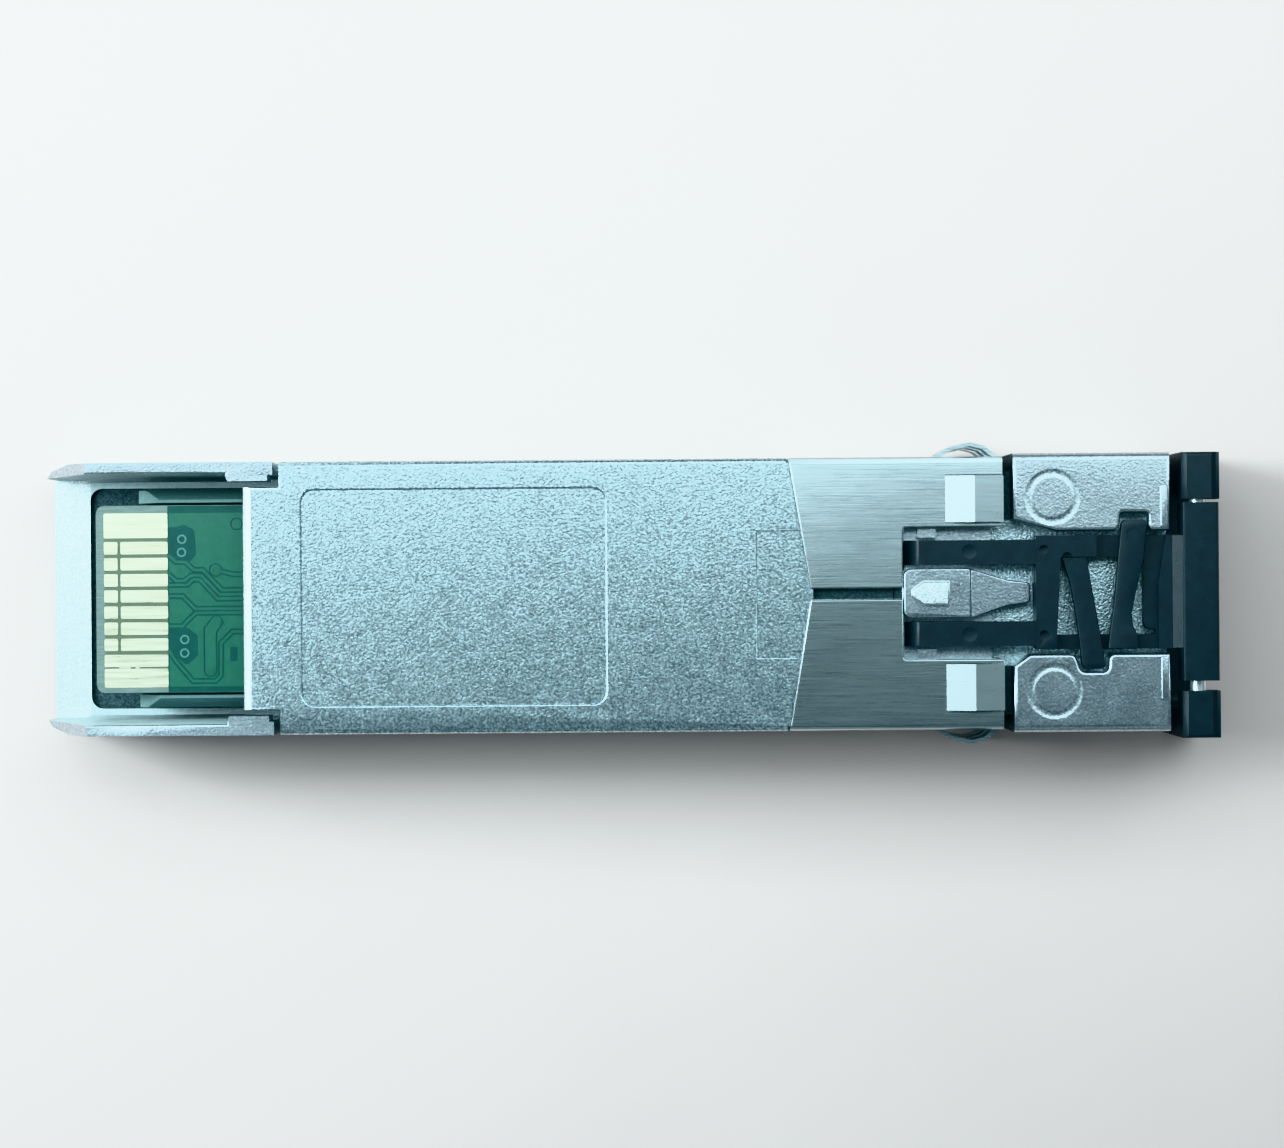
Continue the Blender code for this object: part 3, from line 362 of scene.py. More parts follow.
class Shading:
    """A Principled material and the nodes that feed it. Scales are cycles per millimetre."""

    def __init__(self, name, colour, roughness, metallic=0.0):
        self.material = bpy.data.materials.new(name)
        self.material.use_nodes = True
        self.tree = self.material.node_tree
        self.shader = self.tree.nodes["Principled BSDF"]
        self.shader.inputs["Base Color"].default_value = (*colour, 1)
        self.shader.inputs["Roughness"].default_value = roughness
        self.shader.inputs["Metallic"].default_value = metallic
        self.where = self.tree.nodes.new("ShaderNodeTexCoord").outputs["Object"]
        self.normal = None

    def stretched(self, scale):
        mapping = self.tree.nodes.new("ShaderNodeMapping")
        self.tree.links.new(self.where, mapping.inputs["Vector"])
        mapping.inputs["Scale"].default_value = [s / MM for s in scale]
        mapping.inputs["Rotation"].default_value = GRAIN_TURN
        return mapping.outputs["Vector"]

    def noise(self, scale, detail, roughness=0.55):
        made = self.tree.nodes.new("ShaderNodeTexNoise")
        self.tree.links.new(self.stretched(scale), made.inputs["Vector"])
        made.inputs["Scale"].default_value = 1
        made.inputs["Detail"].default_value = detail
        made.inputs["Roughness"].default_value = roughness
        return made.outputs["Fac"]

    def cells(self, scale):
        made = self.tree.nodes.new("ShaderNodeTexVoronoi")
        self.tree.links.new(self.stretched(scale), made.inputs["Vector"])
        made.inputs["Scale"].default_value = 1
        return made.outputs["Distance"]

    def slope(self, axis, low, high):
        """Climbs from 0 to 1 between two places, in millimetres, along one axis."""
        split = self.tree.nodes.new("ShaderNodeSeparateXYZ")
        self.tree.links.new(self.where, split.inputs["Vector"])
        made = self.tree.nodes.new("ShaderNodeMapRange")
        self.tree.links.new(split.outputs[axis], made.inputs["Value"])
        made.inputs["From Min"].default_value = low * MM
        made.inputs["From Max"].default_value = high * MM
        return made.outputs["Result"]

    def colour_from(self, value, stops):
        """Colours the surface by a value, through stops of (position, colour)."""
        made = self.tree.nodes.new("ShaderNodeValToRGB")
        self.tree.links.new(value, made.inputs["Fac"])
        points = made.color_ramp.elements
        while len(points) < len(stops):
            points.new(0.5)
        for point, (position, colour) in zip(points, stops):
            point.position = position
            point.color = (*colour, 1)
        self.tree.links.new(made.outputs["Color"], self.shader.inputs["Base Color"])

    def roughness_from(self, value, low, high):
        made = self.tree.nodes.new("ShaderNodeMapRange")
        self.tree.links.new(value, made.inputs["Value"])
        made.inputs["To Min"].default_value = low
        made.inputs["To Max"].default_value = high
        self.tree.links.new(made.outputs["Result"], self.shader.inputs["Roughness"])

    def bump(self, value, height):
        """Adds relief of a height in millimetres."""
        made = self.tree.nodes.new("ShaderNodeBump")
        made.inputs["Distance"].default_value = height * MM
        self.tree.links.new(value, made.inputs["Height"])
        if self.normal:
            self.tree.links.new(self.normal, made.inputs["Normal"])
        self.normal = made.outputs["Normal"]
        self.tree.links.new(self.normal, self.shader.inputs["Normal"])

    def set(self, **values):
        for name, value in values.items():
            self.shader.inputs[name.replace("_", " ")].default_value = value


def die_cast(name, relief, colour, roughness=(0.24, 0.36), spread=0.6):
    """Zinc casting: a fine grain of lighter and darker facets that sparkles."""
    made = Shading(name, colour, 0.28, 1.0)
    grain = made.noise((8.1, 8.1, 8.1), 2.5, 0.6)
    dark = tuple(c * (1 - 0.6 * spread) for c in colour)
    light = tuple(min(c * (1 + spread), 1) for c in colour)
    made.colour_from(grain, [(0.36, dark), (0.5, colour), (0.66, light)])
    made.roughness_from(made.noise((1.2, 1.2, 1.2), 3), *roughness)
    made.bump(grain, relief)
    made.bump(made.cells((8.5, 8.5, 8.5)), relief * 0.5)
    return made.material


def casting_finishes():
    """The finishes of the two castings, by the place that each is for. The bay, groove and guide finishes
    are painted shade; the rim and matt finishes are painted light.
    """
    # Painted light: a lighter matt copy of the casting, so that the shaded ledges, wall insides and guide
    # crests show lit.
    matt = speckled("matt_casting_painted_light", (0.5, 0.6, 0.62), 0.55, 0.4, 5)
    # Painted shade: a near-black copy of the casting for the grooves beside the collar and under the seam,
    # and behind the board guides.
    groove = die_cast("groove_painted_shade", 0.01, (0.045, 0.065, 0.07), (0.5, 0.65))
    return {
        "nose": die_cast("housing_cast_finish", 0.0085, (0.45, 0.51, 0.55), spread=0.3),
        "flank": die_cast("die_cast_finish", 0.0105, (0.44, 0.54, 0.58), spread=0.7),
        "channel": die_cast("rough_cast_finish", 0.03, (0.36, 0.45, 0.48), (0.3, 0.45)),
        # Painted shade: a near-black copy of the casting for the rear bay, whose deep floor lies in shade.
        "bay": die_cast("bay_painted_shade", 0.01, (0.055, 0.09, 0.092), (0.45, 0.6)),
        "groove": groove,
        "behind_guides": groove,
        "mark": die_cast("mark_finish", 0.006, (0.5, 0.57, 0.61), (0.26, 0.37)),
        # Painted highlight: a near-white copy of the casting for the rear skirt, the cover's rear slope and
        # the collar's V edge.
        "rim": die_cast("rim_painted_highlight", 0.005, (0.86, 0.95, 0.96), (0.3, 0.4)),
        "ledge": matt,
        "wall_inside": matt,
        # Painted shade: a dark matt copy of the casting for the board guides.
        "guide": speckled("guide_painted_shade", (0.1, 0.17, 0.165), 0.55, 0.2, 5),
        "guide_crest": matt,
        "boss": die_cast("boss_finish", 0.012, (0.8, 0.9, 0.92), (0.26, 0.42)),
    }


def brushed_sheet():
    """Stainless sheet, brushed along the module. The flap on the -Y side leans away a little."""
    made = Shading("brushed_sheet_finish", (0.44, 0.49, 0.51), 0.3, 1.0)
    lines = made.noise((0.25, 26, 26), 3, 0.6)
    made.colour_from(lines, [(0.25, (0.41, 0.47, 0.49)), (0.75, (0.53, 0.6, 0.62))])
    made.roughness_from(lines, 0.22, 0.34)
    made.bump(lines, 0.004)
    made.bump(made.noise((0.6, 0.6, 0.6), 2), 0.01)
    made.bump(made.slope("Y", -FLAP_WIDTH, 0), FLAP_LEAN * FLAP_WIDTH)
    return made.material


def spring_sheet():
    """The bent springs of the collar, bright from the bending tool."""
    made = Shading("spring_sheet_finish", (0.48, 0.54, 0.56), 0.28, 1.0)
    made.roughness_from(made.noise((0.5, 3, 0.5), 2), 0.24, 0.34)
    made.bump(made.noise((0.3, 5, 0.3), 2), 0.003)
    return made.material


def polished_metal():
    made = Shading("rubbed_metal_finish", (0.9, 0.95, 0.96), 0.3, 1.0)
    made.roughness_from(made.noise((9, 9, 9), 2), 0.26, 0.4)
    made.bump(made.noise((7, 7, 7), 3), 0.006)
    return made.material


def black_moulding():
    """Glass-filled plastic with a fine spark-eroded grain."""
    made = Shading("black_moulding_finish", (0.003, 0.009, 0.014), 0.42)
    grain = made.noise((9, 9, 9), 3)
    shades = [(0.3, (0.0015, 0.006, 0.01)), (0.75, (0.004, 0.013, 0.019))]
    made.colour_from(made.noise((1.5, 1.5, 1.5), 3), shades)
    made.roughness_from(grain, 0.36, 0.56)
    made.bump(grain, 0.006)
    made.set(Specular_IOR_Level=0.38)
    return made.material


def solder_mask(name, colour, shade=0.75):
    """Green lacquer, whose darker spots are the colour times a shade."""
    made = Shading(name, colour, 0.32)
    weave = made.noise((2.5, 2.5, 2.5), 3)
    made.colour_from(weave, [(0.3, tuple(c * shade for c in colour)), (0.7, colour)])
    made.bump(made.noise((8, 8, 8), 2), 0.003)
    made.set(Specular_IOR_Level=0.35, Coat_Weight=0.15, Coat_Roughness=0.2)
    return made.material


def laminate():
    """Bare glass laminate at the board's edge."""
    made = Shading("bare_laminate", (0.1, 0.15, 0.13), 0.5)
    weave = made.noise((1.2, 9, 9), 2)
    made.colour_from(weave, [(0.3, (0.09, 0.13, 0.115)), (0.7, (0.14, 0.19, 0.17))])
    made.bump(weave, 0.004)
    return made.material


def contact_field():
    """The olive laminate that shows between the contacts."""
    return speckled("contact_field", (0.075, 0.1, 0.06), 0.5, 0.0, 7)


def gold():
    """Hard gold plating with faint wiping marks along each contact."""
    made = Shading("contact_gold", (0.92, 0.86, 0.66), 0.3, 1.0)
    wipes = made.noise((0.35, 7, 1), 3)
    made.colour_from(wipes, [(0.3, (0.82, 0.77, 0.56)), (0.7, (0.97, 0.92, 0.74))])
    made.roughness_from(wipes, 0.2, 0.42)
    made.bump(wipes, 0.002)
    return made.material


def speckled(name, colour, roughness, metallic, scale):
    """A finish with a fine grain of slightly lighter and darker spots."""
    made = Shading(name, colour, roughness, metallic)
    grain = made.noise((scale, scale, scale), 3)
    light = tuple(min(1, c * 1.15) for c in colour)
    made.colour_from(grain, [(0.3, tuple(c * 0.88 for c in colour)), (0.7, light)])
    made.roughness_from(grain, roughness * 0.85, min(1, roughness * 1.2))
    made.bump(grain, 0.004)
    return made.material


def floor_paint():
    made = Shading("pale_floor", (0.64, 0.51, 0.48), 0.7)
    clouds = made.noise((0.05, 0.05, 0.05), 3)
    made.colour_from(clouds, [(0.3, (0.63, 0.5, 0.47)), (0.7, (0.65, 0.52, 0.49))])
    return made.material


# ---------------------------------------------------------------- housing


EJECTOR_MARKS = ((5.14, 4.69), (5.2, -4.83))
MARK_INNER = 0.98
MARK_OUTER = 1.39
MARK_DEPTH = 0.045
LIP_REAR = 10.42
LIP_FRONT = 10.8
LIP_HEIGHT = 0.07
LIP_ENDS = ((3.15, 5.25), (-5.35, -3.15))
# From here on, limits that tell the casting's places apart, up to 0.2 mm off the edges that they follow.
NOSE_REAR = 3.22
CHANNEL_FLOOR = 7.0
ISLAND_REAR = -2.2
ISLAND_FRONT = 4.2
ISLAND_HALF = 1.25
BOSS_REAR = -1.95
BOSS_FRONT = 0.05
BOSS_HALF = 0.6
SEAM_HALF = 0.28
# Beyond this distance from the middle plane, a casting's face or edge belongs to its outer sides.
SIDE = 6.6
FLANK_FRONT = -7.7
# The cover's V-shaped front edge lies between these two.
V_SIDES = -8.1
V_TIP = -6.8
BEYOND_REAR = -46
RIM_END = -43.2
BAY_FRONT = -33.3
BAY_HALF = 5.72
CATCH_END = -35.4
LEDGE_LOW = 0.6
LEDGE_HIGH = 0.85
WALL_FOOT = 6.05
WALL_CREST = 6.16
GUIDE_REAR = -40.2
GUIDE_INNER = 4.7
GUIDE_CREST = 4.93
GUIDE_OUTER = 5.46
GUIDE_TOP = 5.9


def ejector_mark(centre):
    """The cutter of a shallow ring with sloping sides."""
    deep = TOP - MARK_DEPTH
    profile = [(MARK_INNER - 0.06, TOP + 0.01), (MARK_INNER + 0.05, deep), (MARK_OUTER - 0.07, deep)]
    profile.append((MARK_OUTER + 0.05, TOP + 0.01))
    return turned_about_z(centre, profile, 64)


def front_lip(side_ends):
    """A low raised strip along the nose's front edge."""
    plan = rounded_box((LIP_REAR, LIP_FRONT), side_ends, 0.12)
    return prism(plan, "Z", TOP - 0.1, TOP + LIP_HEIGHT)


def on_side(side, outline):
    """An outline of (distance from the middle plane, z), on the +Y or the -Y side."""
    return [(side * distance, z) for distance, z in outline]


def wall_draft(side):
    """The cutter that leans a bay wall's inner face outwards towards its top."""
    low = 4.0
    above = TOP + 1
    free = WALL_FOOT - 0.5
    outline = [(WALL_FOOT, low), (WALL_CREST, TOP), (WALL_CREST, above), (free, above), (free, low)]
    return prism(on_side(side, outline), "X", BEYOND_REAR, CATCH_END)


def wall_foot(side):
    """The lower part of the same lean, which widens the wall towards the label side."""
    inner = WALL_FOOT - 0.11
    buried = WALL_FOOT + 0.2
    top = 3.6
    outline = [(inner, LEDGE_LOW), (inner, 0.75), (WALL_FOOT, top), (buried, top), (buried, LEDGE_LOW)]
    return prism(on_side(side, outline), "X", RIM_END, CATCH_END)


def guide_slope(side):
    """The cutter that leaves a narrow crest on a board guide, with a long slope outside it."""
    above = GUIDE_TOP + 1
    outline = [(GUIDE_CREST, above), (GUIDE_CREST, GUIDE_TOP), (GUIDE_OUTER, GUIDE_TOP - 1)]
    outline.append((GUIDE_OUTER, above))
    return prism(on_side(side, outline), "X", GUIDE_REAR - 0.2, BAY_FRONT)


def shape_housing(housing):
    """Leans the bay's walls, rounds the edges that show, and adds the ejector marks and front lips."""

    def on_nose_top(x, y, z):
        return x > NOSE_REAR - 0.02 and z > TOP - 0.02

    def on_island(x, y, z):
        return ISLAND_REAR < x < ISLAND_FRONT and abs(y) < ISLAND_HALF and TOP - 0.8 < z < TOP + 0.01

    def on_wall_top(x, y, z):
        return x < BAY_FRONT and z > TOP - 0.02 and abs(y) < SIDE

    def on_wall_outside(x, y, z):
        return x < BAY_FRONT and z > TOP - 0.02 and abs(y) > SIDE

    def on_boss_top(x, y, z):
        on_boss = BOSS_REAR - 0.05 < x < BOSS_FRONT + 0.05 and abs(y) < BOSS_HALF + 0.05
        return on_boss and z > TOP + 0.08

    def on_lip_top(x, y, z):
        return z > TOP + 0.05 and x > LIP_REAR - 0.1

    for side in (-1, 1):
        cut(housing, wall_draft(side))
        cut(housing, guide_slope(side))
        add(housing, wall_foot(side))
    round_edges(housing, 0.17, on_nose_top)
    round_edges(housing, 0.08, on_island)
    round_edges(housing, 0.1, on_wall_top)
    round_edges(housing, 0.24, on_wall_outside, 4)
    round_edges(housing, 0.07, on_boss_top)
    for centre in EJECTOR_MARKS:
        cut(housing, ejector_mark(centre))
    for ends in LIP_ENDS:
        add(housing, front_lip(ends))
    round_edges(housing, 0.06, on_lip_top)
    smooth(housing)
    for x in (RIM_END, BAY_FRONT, GUIDE_REAR):
        split_faces(housing, x)


def paint_housing(housing, finishes):
    """Gives the places of the casting that differ from its nose the finishes that they show: painted shade
    in the bay, the grooves and on the guides, and painted light on the rim, ledges, wall insides and guide
    crests.
    """

    def on_flank(x, y, z, normal):
        return x < FLANK_FRONT and abs(y) > SIDE and abs(normal.y) > 0.5

    def in_channel(x, y, z, normal):
        return 2.0 < x < 12 and abs(y) < 4 and abs(z - CHANNEL_FLOOR) < 0.1 and normal.z > 0.8

    # Painted shade: the bay's floor and inner faces take the near-black copy of the casting.
    def in_bay(x, y, z, normal):
        on_ledge_top = normal.z > 0.8 and LEDGE_LOW < z < LEDGE_HIGH
        return x < BAY_FRONT + 0.1 and abs(y) < BAY_HALF and z < 7.2 and not on_ledge_top

    # Painted shade in the grooves beside the collar and under the seam.
    def in_grooves(x, y, z, normal):
        beside_collar = NOSE_REAR - 0.5 < x < NOSE_REAR + 0.02 and z < TOP - 0.2
        under_seam = -8 < x < -2.15 and abs(y) < SEAM_HALF + 0.07 and 7.5 < z < TOP - 0.4
        return beside_collar or under_seam

    # Painted shade behind the board guides.
    def behind_guides(x, y, z, normal):
        return RIM_END < x < GUIDE_REAR and z < LEDGE_LOW

    def in_mark(x, y, z, normal):
        near = min(math.hypot(x - a, y - b) for a, b in EJECTOR_MARKS)
        return MARK_INNER - 0.1 < near < MARK_OUTER + 0.1 and TOP - 0.1 < z < TOP - 0.01

    # Painted highlight on the rear skirt.
    def on_rim(x, y, z, normal):
        return x < RIM_END and LEDGE_LOW < z < LEDGE_HIGH and normal.z > 0.3

    # Painted light on the ledges, the wall insides and the guide crests.
    def on_ledge(x, y, z, normal):
        return RIM_END < x < BAY_FRONT and LEDGE_LOW < z < LEDGE_HIGH and normal.z > 0.3

    def on_wall_inside(x, y, z, normal):
        at_wall = WALL_FOOT - 0.25 < abs(y) < WALL_CREST + 0.14 and 0.8 < z < TOP - 0.1
        return x < BAY_FRONT and at_wall and normal.y * y < 0

    # Painted shade on the board guides, all but their crests.
    def on_guide(x, y, z, normal):
        return GUIDE_REAR - 0.1 < x < BAY_FRONT and GUIDE_INNER < abs(y) < GUIDE_OUTER + 0.04 and z > 4.3

    def on_guide_crest(x, y, z, normal):
        at_crest = GUIDE_INNER < abs(y) < GUIDE_CREST and z > GUIDE_TOP - 0.05
        return x < BAY_FRONT and at_crest and normal.z > 0.8

    def on_boss(x, y, z, normal):
        return BOSS_REAR + 0.05 < x < BOSS_FRONT and abs(y) < BOSS_HALF and z > TOP

    places = [("flank", on_flank), ("channel", in_channel), ("bay", in_bay), ("groove", in_grooves)]
    places += [("behind_guides", behind_guides), ("mark", in_mark), ("rim", on_rim), ("ledge", on_ledge)]
    places += [("wall_inside", on_wall_inside), ("guide", on_guide), ("guide_crest", on_guide_crest)]
    places.append(("boss", on_boss))
    for name, test in places:
        paint(housing, finishes[name], test)


def build_housing(finishes):
    housing = refined("main_housing", "housing_casting")
    shape_housing(housing)
    dress(housing, "main_housing", finishes["nose"])
    paint_housing(housing, finishes)


TONGUE_REAR = -34.6
TONGUE_HALF = 5.45
RECESS_REAR = -31.7
RECESS_FRONT = -16.8
RECESS_HALF = 5.28
STEP_REAR = -9.36
STEP_FRONT = -6.0
STEP_HALF = 3.1
STEP_DEPTH = 0.05


def tongue_slope():
    """The cutter of the slope on the cover's rear edge."""
    behind = TONGUE_REAR - 1
    crest = TONGUE_REAR + 0.42
    outline = [(behind, TOP - 0.8), (crest, TOP), (crest, TOP + 1), (behind, TOP + 1)]
    return prism(outline, "Y", -TONGUE_HALF - 0.1, TONGUE_HALF + 0.1)


def build_cover(finishes):
    """The cover, with a painted highlight on the slope of its rear edge, painted shade in the groove under
    its seam, and a shallow step that meets the collar's V.
    """
    cover = refined("bottom_cover", "cover_casting")
    cut(cover, tongue_slope())
    cut(cover, block((STEP_REAR, STEP_FRONT), (-STEP_HALF, STEP_HALF), (TOP - STEP_DEPTH, TOP + 1)))

    def on_recess(x, y, z):
        inside = RECESS_REAR - 0.05 < x < RECESS_FRONT + 0.05 and abs(y) < RECESS_HALF + 0.05
        return inside and z > TOP - 0.03

    def on_step(x, y, z):
        return STEP_REAR - 0.1 < x < V_TIP and abs(y) < STEP_HALF + 0.05 and z > TOP - 0.02

    def on_outer_edges(x, y, z):
        return z > TOP - 0.03 and x < V_SIDES and not on_recess(x, y, z) and not on_step(x, y, z)

    round_edges(cover, 0.12, on_outer_edges)
    round_edges(cover, 0.1, on_recess)
    round_edges(cover, 0.06, on_step)
    smooth(cover)
    dress(cover, "bottom_cover", finishes["flank"])

    # Painted highlight on the rear slope.
    def on_slope(x, y, z, normal):
        return x < TONGUE_REAR + 0.45 and normal.x < -0.2 and normal.z > 0.7

    # Painted shade in the groove under the seam.
    def under_seam(x, y, z, normal):
        return x > -7 and abs(y) < SEAM_HALF + 0.07 and z < TOP - 0.3

    paint(cover, finishes["rim"], on_slope)
    paint(cover, finishes["groove"], under_seam)


SPRING_REAR = -0.2
SPRING_FRONT = 2.7
SPRING_INNER = 3.3
SPRING_OUTER = 5.9


def build_collar(sheet, spring, painted_highlight):
    """The folded sheet, whose two latch-side springs stay sharp and whose V edge carries a painted
    highlight.
    """
    collar = refined("emi_collar", "shield_collar")

    def on_outside(x, y, z):
        by_spring = abs(x) < SPRING_FRONT + 0.3 and SPRING_INNER < abs(y) < SPRING_OUTER
        return z > TOP - 0.01 and not by_spring

    round_edges(collar, 0.07, on_outside, 4)
    smooth(collar, 28)
    dress(collar, "emi_collar", sheet)

    def on_spring(x, y, z, normal):
        there = SPRING_REAR < x < SPRING_FRONT and SPRING_INNER < abs(y) < SPRING_OUTER
        return there and abs(normal.x) > 0.1 and normal.z > 0.5

    # Painted highlight on the V edge.
    def on_rear_edge(x, y, z, normal):
        return x < V_TIP + 0.4 and z > TOP - 0.2 and normal.x < -0.2

    paint(collar, spring, on_spring)
    paint(collar, painted_highlight, on_rear_edge)


# ---------------------------------------------------------------- release


LEAF_LOW = 7.91
LEAF_HIGH = 8.4
LEAF_SOFT = 0.045
LEAF_STEPS = 40
TIP_LENGTH = 0.18
TIP_INSET = 0.16
SLIDER_TOP = 8.46
TINE_TOP = 8.42
TINE_DIMPLES = ((1.06, -2.03), (1.06, 2.03))
TINE_DIMPLE = 0.36
REAR_ROOT_DIMPLE = (5.86, 1.73)
SLIDER_DIMPLES = ((4.72, 2.09), (4.72, -2.09), REAR_ROOT_DIMPLE)
DIMPLE = 0.24
FRONT_TIP_DIMPLE = (9.13, 2.83)
TIP_DIMPLE = 0.34


def across(points, y):
    """The X of a line of (x, y) points at a Y."""
    line = sorted(points, key=lambda p: p[1])
    for (x0, y0), (x1, y1) in zip(line, line[1:]):
        if y <= y1:
            return x0 + (x1 - x0) * (y - y0) / (y1 - y0)
    return line[-1][0]


def leaf_moulding(name, left, right, root, tip, black):
    """A spring bar lofted from its root to its tip, with round upper edges and a round tip."""
    bm = bmesh.new()
    sections = []
    for k in range(LEAF_STEPS + 1):
        y = root + (tip - root) * k / LEAF_STEPS
        near_tip = max(1 - abs(tip - y) / TIP_LENGTH, 0)
        inset = TIP_INSET * (1 - math.sqrt(1 - near_tip**2))
        x0 = across(left, y) + inset
        x1 = across(right, y) - inset
        shoulder = LEAF_HIGH - LEAF_SOFT
        knee = LEAF_SOFT * 0.3
        outline = [(x0, LEAF_LOW), (x0, shoulder), (x0 + knee, LEAF_HIGH - knee)]
        outline += [(x0 + LEAF_SOFT, LEAF_HIGH), (x1 - LEAF_SOFT, LEAF_HIGH)]
        outline += [(x1 - knee, LEAF_HIGH - knee), (x1, shoulder), (x1, LEAF_LOW)]
        sections.append([bm.verts.new(place(x, y, z)) for x, z in outline])
    for near, far in zip(sections, sections[1:]):
        for i in range(len(near)):
            j = (i + 1) % len(near)
            bm.faces.new([near[i], near[j], far[j], far[i]])
    bm.faces.new(sections[0])
    bm.faces.new(sections[-1][::-1])
    bmesh.ops.recalc_face_normals(bm, faces=bm.faces)
    obj = link_mesh(name, bm, black)
    obj.data.shade_smooth()
    obj.data.set_sharp_from_angle(angle=math.radians(50))
    return obj


def build_rear_leaf(black):
    """The rear spring bar, with its tip in its notch and a dimple at its root."""
    left = [(5.62, 1.7), (6.0, 0.5), (6.2, -0.6), (6.39, -1.95), (6.6, -3.78)]
    right = [(6.82, 1.7), (7.0, 0.6), (7.25, -0.8), (7.48, -2.11), (7.74, -3.78)]
    leaf = leaf_moulding("rear_spring_bar", left, right, 1.7, -3.76, black)
    cut(leaf, disc(REAR_ROOT_DIMPLE, DIMPLE, LEAF_HIGH - 0.05, LEAF_HIGH + 1))
    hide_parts("leaf_spring_rear")
    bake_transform(leaf)


def build_front_leaf(black):
    """The front spring bar, shaped like the rear one with its root and its tip the other way round, and a
    dimple at its tip.
    """
    left = [(8.57, 3.58), (8.38, 1.79), (8.3, 0.9), (8.22, 0.0), (8.1, -1.0), (7.95, -2.0), (7.85, -2.75)]
    right = [(9.81, 3.58), (9.62, 1.63), (9.42, 0.8), (9.24, 0.05), (9.02, -1.0), (9.05, -1.6)]
    right += [(9.3, -2.1), (9.35, -2.75)]
    leaf = leaf_moulding("front_spring_bar", left, right, -2.75, 3.56, black)
    cut(leaf, disc(FRONT_TIP_DIMPLE, TIP_DIMPLE, LEAF_HIGH - 0.04, LEAF_HIGH + 1))
    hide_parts("leaf_spring_front")
    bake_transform(leaf)


def build_release(black, steel):
    """The slider with its dimples and springs, the bail, and the bail's pin."""
    slider = refined("latch_slider", "release_slider")
    for centre in SLIDER_DIMPLES:
        cut(slider, disc(centre, DIMPLE, SLIDER_TOP - 0.2, SLIDER_TOP + 1))
    for centre in TINE_DIMPLES:
        cut(slider, disc(centre, TINE_DIMPLE, TINE_TOP - 0.04, TINE_TOP + 1))
    soften_edges(slider, 0.06)
    dress(slider, "latch_slider", black)
    build_rear_leaf(black)
    build_front_leaf(black)
    bail = refined("bail", "pull_bail")
    soften_edges(bail, 0.07)
    dress(bail, "bail", black)
    pin = refined("bail_pin", "steel_pin")
    soften_edges(pin, 0.05)
    dress(pin, "bail_pin", steel)


# ---------------------------------------------------------------- board


BOARD_LOW, BOARD_HIGH = box_mm("circuit_board")
BOARD_TOP = BOARD_HIGH.z
BOARD_UNDERSIDE = BOARD_LOW.z
PITCH = 0.8
CONTACTS = 10
CONTACTS_MIDDLE = -0.26
CONTACT_HALF = 0.305
CONTACT_REAR = BOARD_LOW.x + 0.4
WIPE_PAD_END = -41.03
CONTACT_RESTART = -40.88
BRIDGES = ((-40.97, -40.41), (-40.17, -39.97))
MASK_START = -38.54
WIDE_OUTER = (4.256, -4.378)
POUR_EDGE = (4.26, -4.36)
POUR_FRONT = -32.6
NECK_FRONT = -33.03
NECK_HALF = 4.62
BOARD_HALF = 5.45
FOIL = 0.035
# How far a thin layer reaches into the surface that it lies on.
SUNK = 0.01
GAP_WIDTH = 0.085
TRACE_WIDTH = 0.13
TRACK_FRONT = -34.2
SLOT_WIDTH = 0.54
VIA_OUTER = 0.235
VIA_HOLE = 0.15
OPEN_VIAS = ((-37.83, 2.96), (-37.85, 2.31), (-37.72, -2.02), (-37.73, -2.69))
TENTED_DIMPLES = ((-37.99, 3.9), (-36.95, 0.16), (-37.99, -0.82), (-37.1, -3.32), (-38.0, -3.98))
SPUR_VIA = (-36.15, 1.42)
SLOT_VIAS = ((-36.13, -1.14), (-36.44, -3.56))
POUR_VIA = (-37.87, 1.4)
ROUND_PAD = (-35.1, 3.7)
ROUND_PAD_RADIUS = 0.25
VIA_PAD = 0.27
PAD_GAP = 0.07
POUR_OPENING = ((-35.45, -35.1), (-2.4, -3.1))
BRIDGED_GAP = 0.08
BOARD_FACES = (("latch_side", BOARD_TOP, 1), ("label_side", BOARD_UNDERSIDE, -1))


def trace_lines():
    """Routes of the tracks that run from the contacts under the cover, as listed points."""
    top = [(-38.5, 2.17), (-38.14, 1.84), (-37.67, 1.83), (-37.24, 1.43), (-36.8, 1.43), (-35.85, 0.42)]
    second = [(-38.5, 1.24), (-38.14, 0.9), (-37.71, 0.9), (-37.38, 1.16), (-36.88, 1.16), (-35.98, 0.21)]
    third = [(-38.5, 0.69), (-37.58, 0.69), (-37.28, 0.95), (-36.95, 0.95), (-36.08, 0.0)]
    fourth = [(-38.5, 0.14), (-37.82, 0.14), (-37.19, -0.5)]
    fifth = [(-38.5, -1.36), (-37.83, -1.36), (-37.16, -0.7)]
    long_way = [(-38.5, -2.55), (-38.17, -3.08), (-37.32, -4.09), (-36.19, -4.09), (-35.92, -3.8)]
    long_way += [(-35.91, -2.2), (-35.34, -1.64)]
    routes = (top, second, third, fourth, fifth, long_way)
    return [route + [(TRACK_FRONT, route[-1][1])] for route in routes]


def spur_line():
    """The short track that starts at a covered via."""
    return [SPUR_VIA, (-35.3, 1.2), (TRACK_FRONT, 1.2)]


def contact_rows():
    """The (low, high) Y of each contact. The outermost two are wide ground contacts."""
    rows = []
    for k in range(CONTACTS):
        y = CONTACTS_MIDDLE + PITCH * ((CONTACTS - 1) / 2 - k)
        rows.append([y - CONTACT_HALF, y + CONTACT_HALF])
    rows[0][1] = WIDE_OUTER[0]
    rows[-1][0] = WIDE_OUTER[1]
    rows[-1][1] = rows[-2][0] - BRIDGED_GAP
    return rows


def contact(x, y, low, high):
    return prism(rounded_box(x, y, 0.07), "Z", low, high)


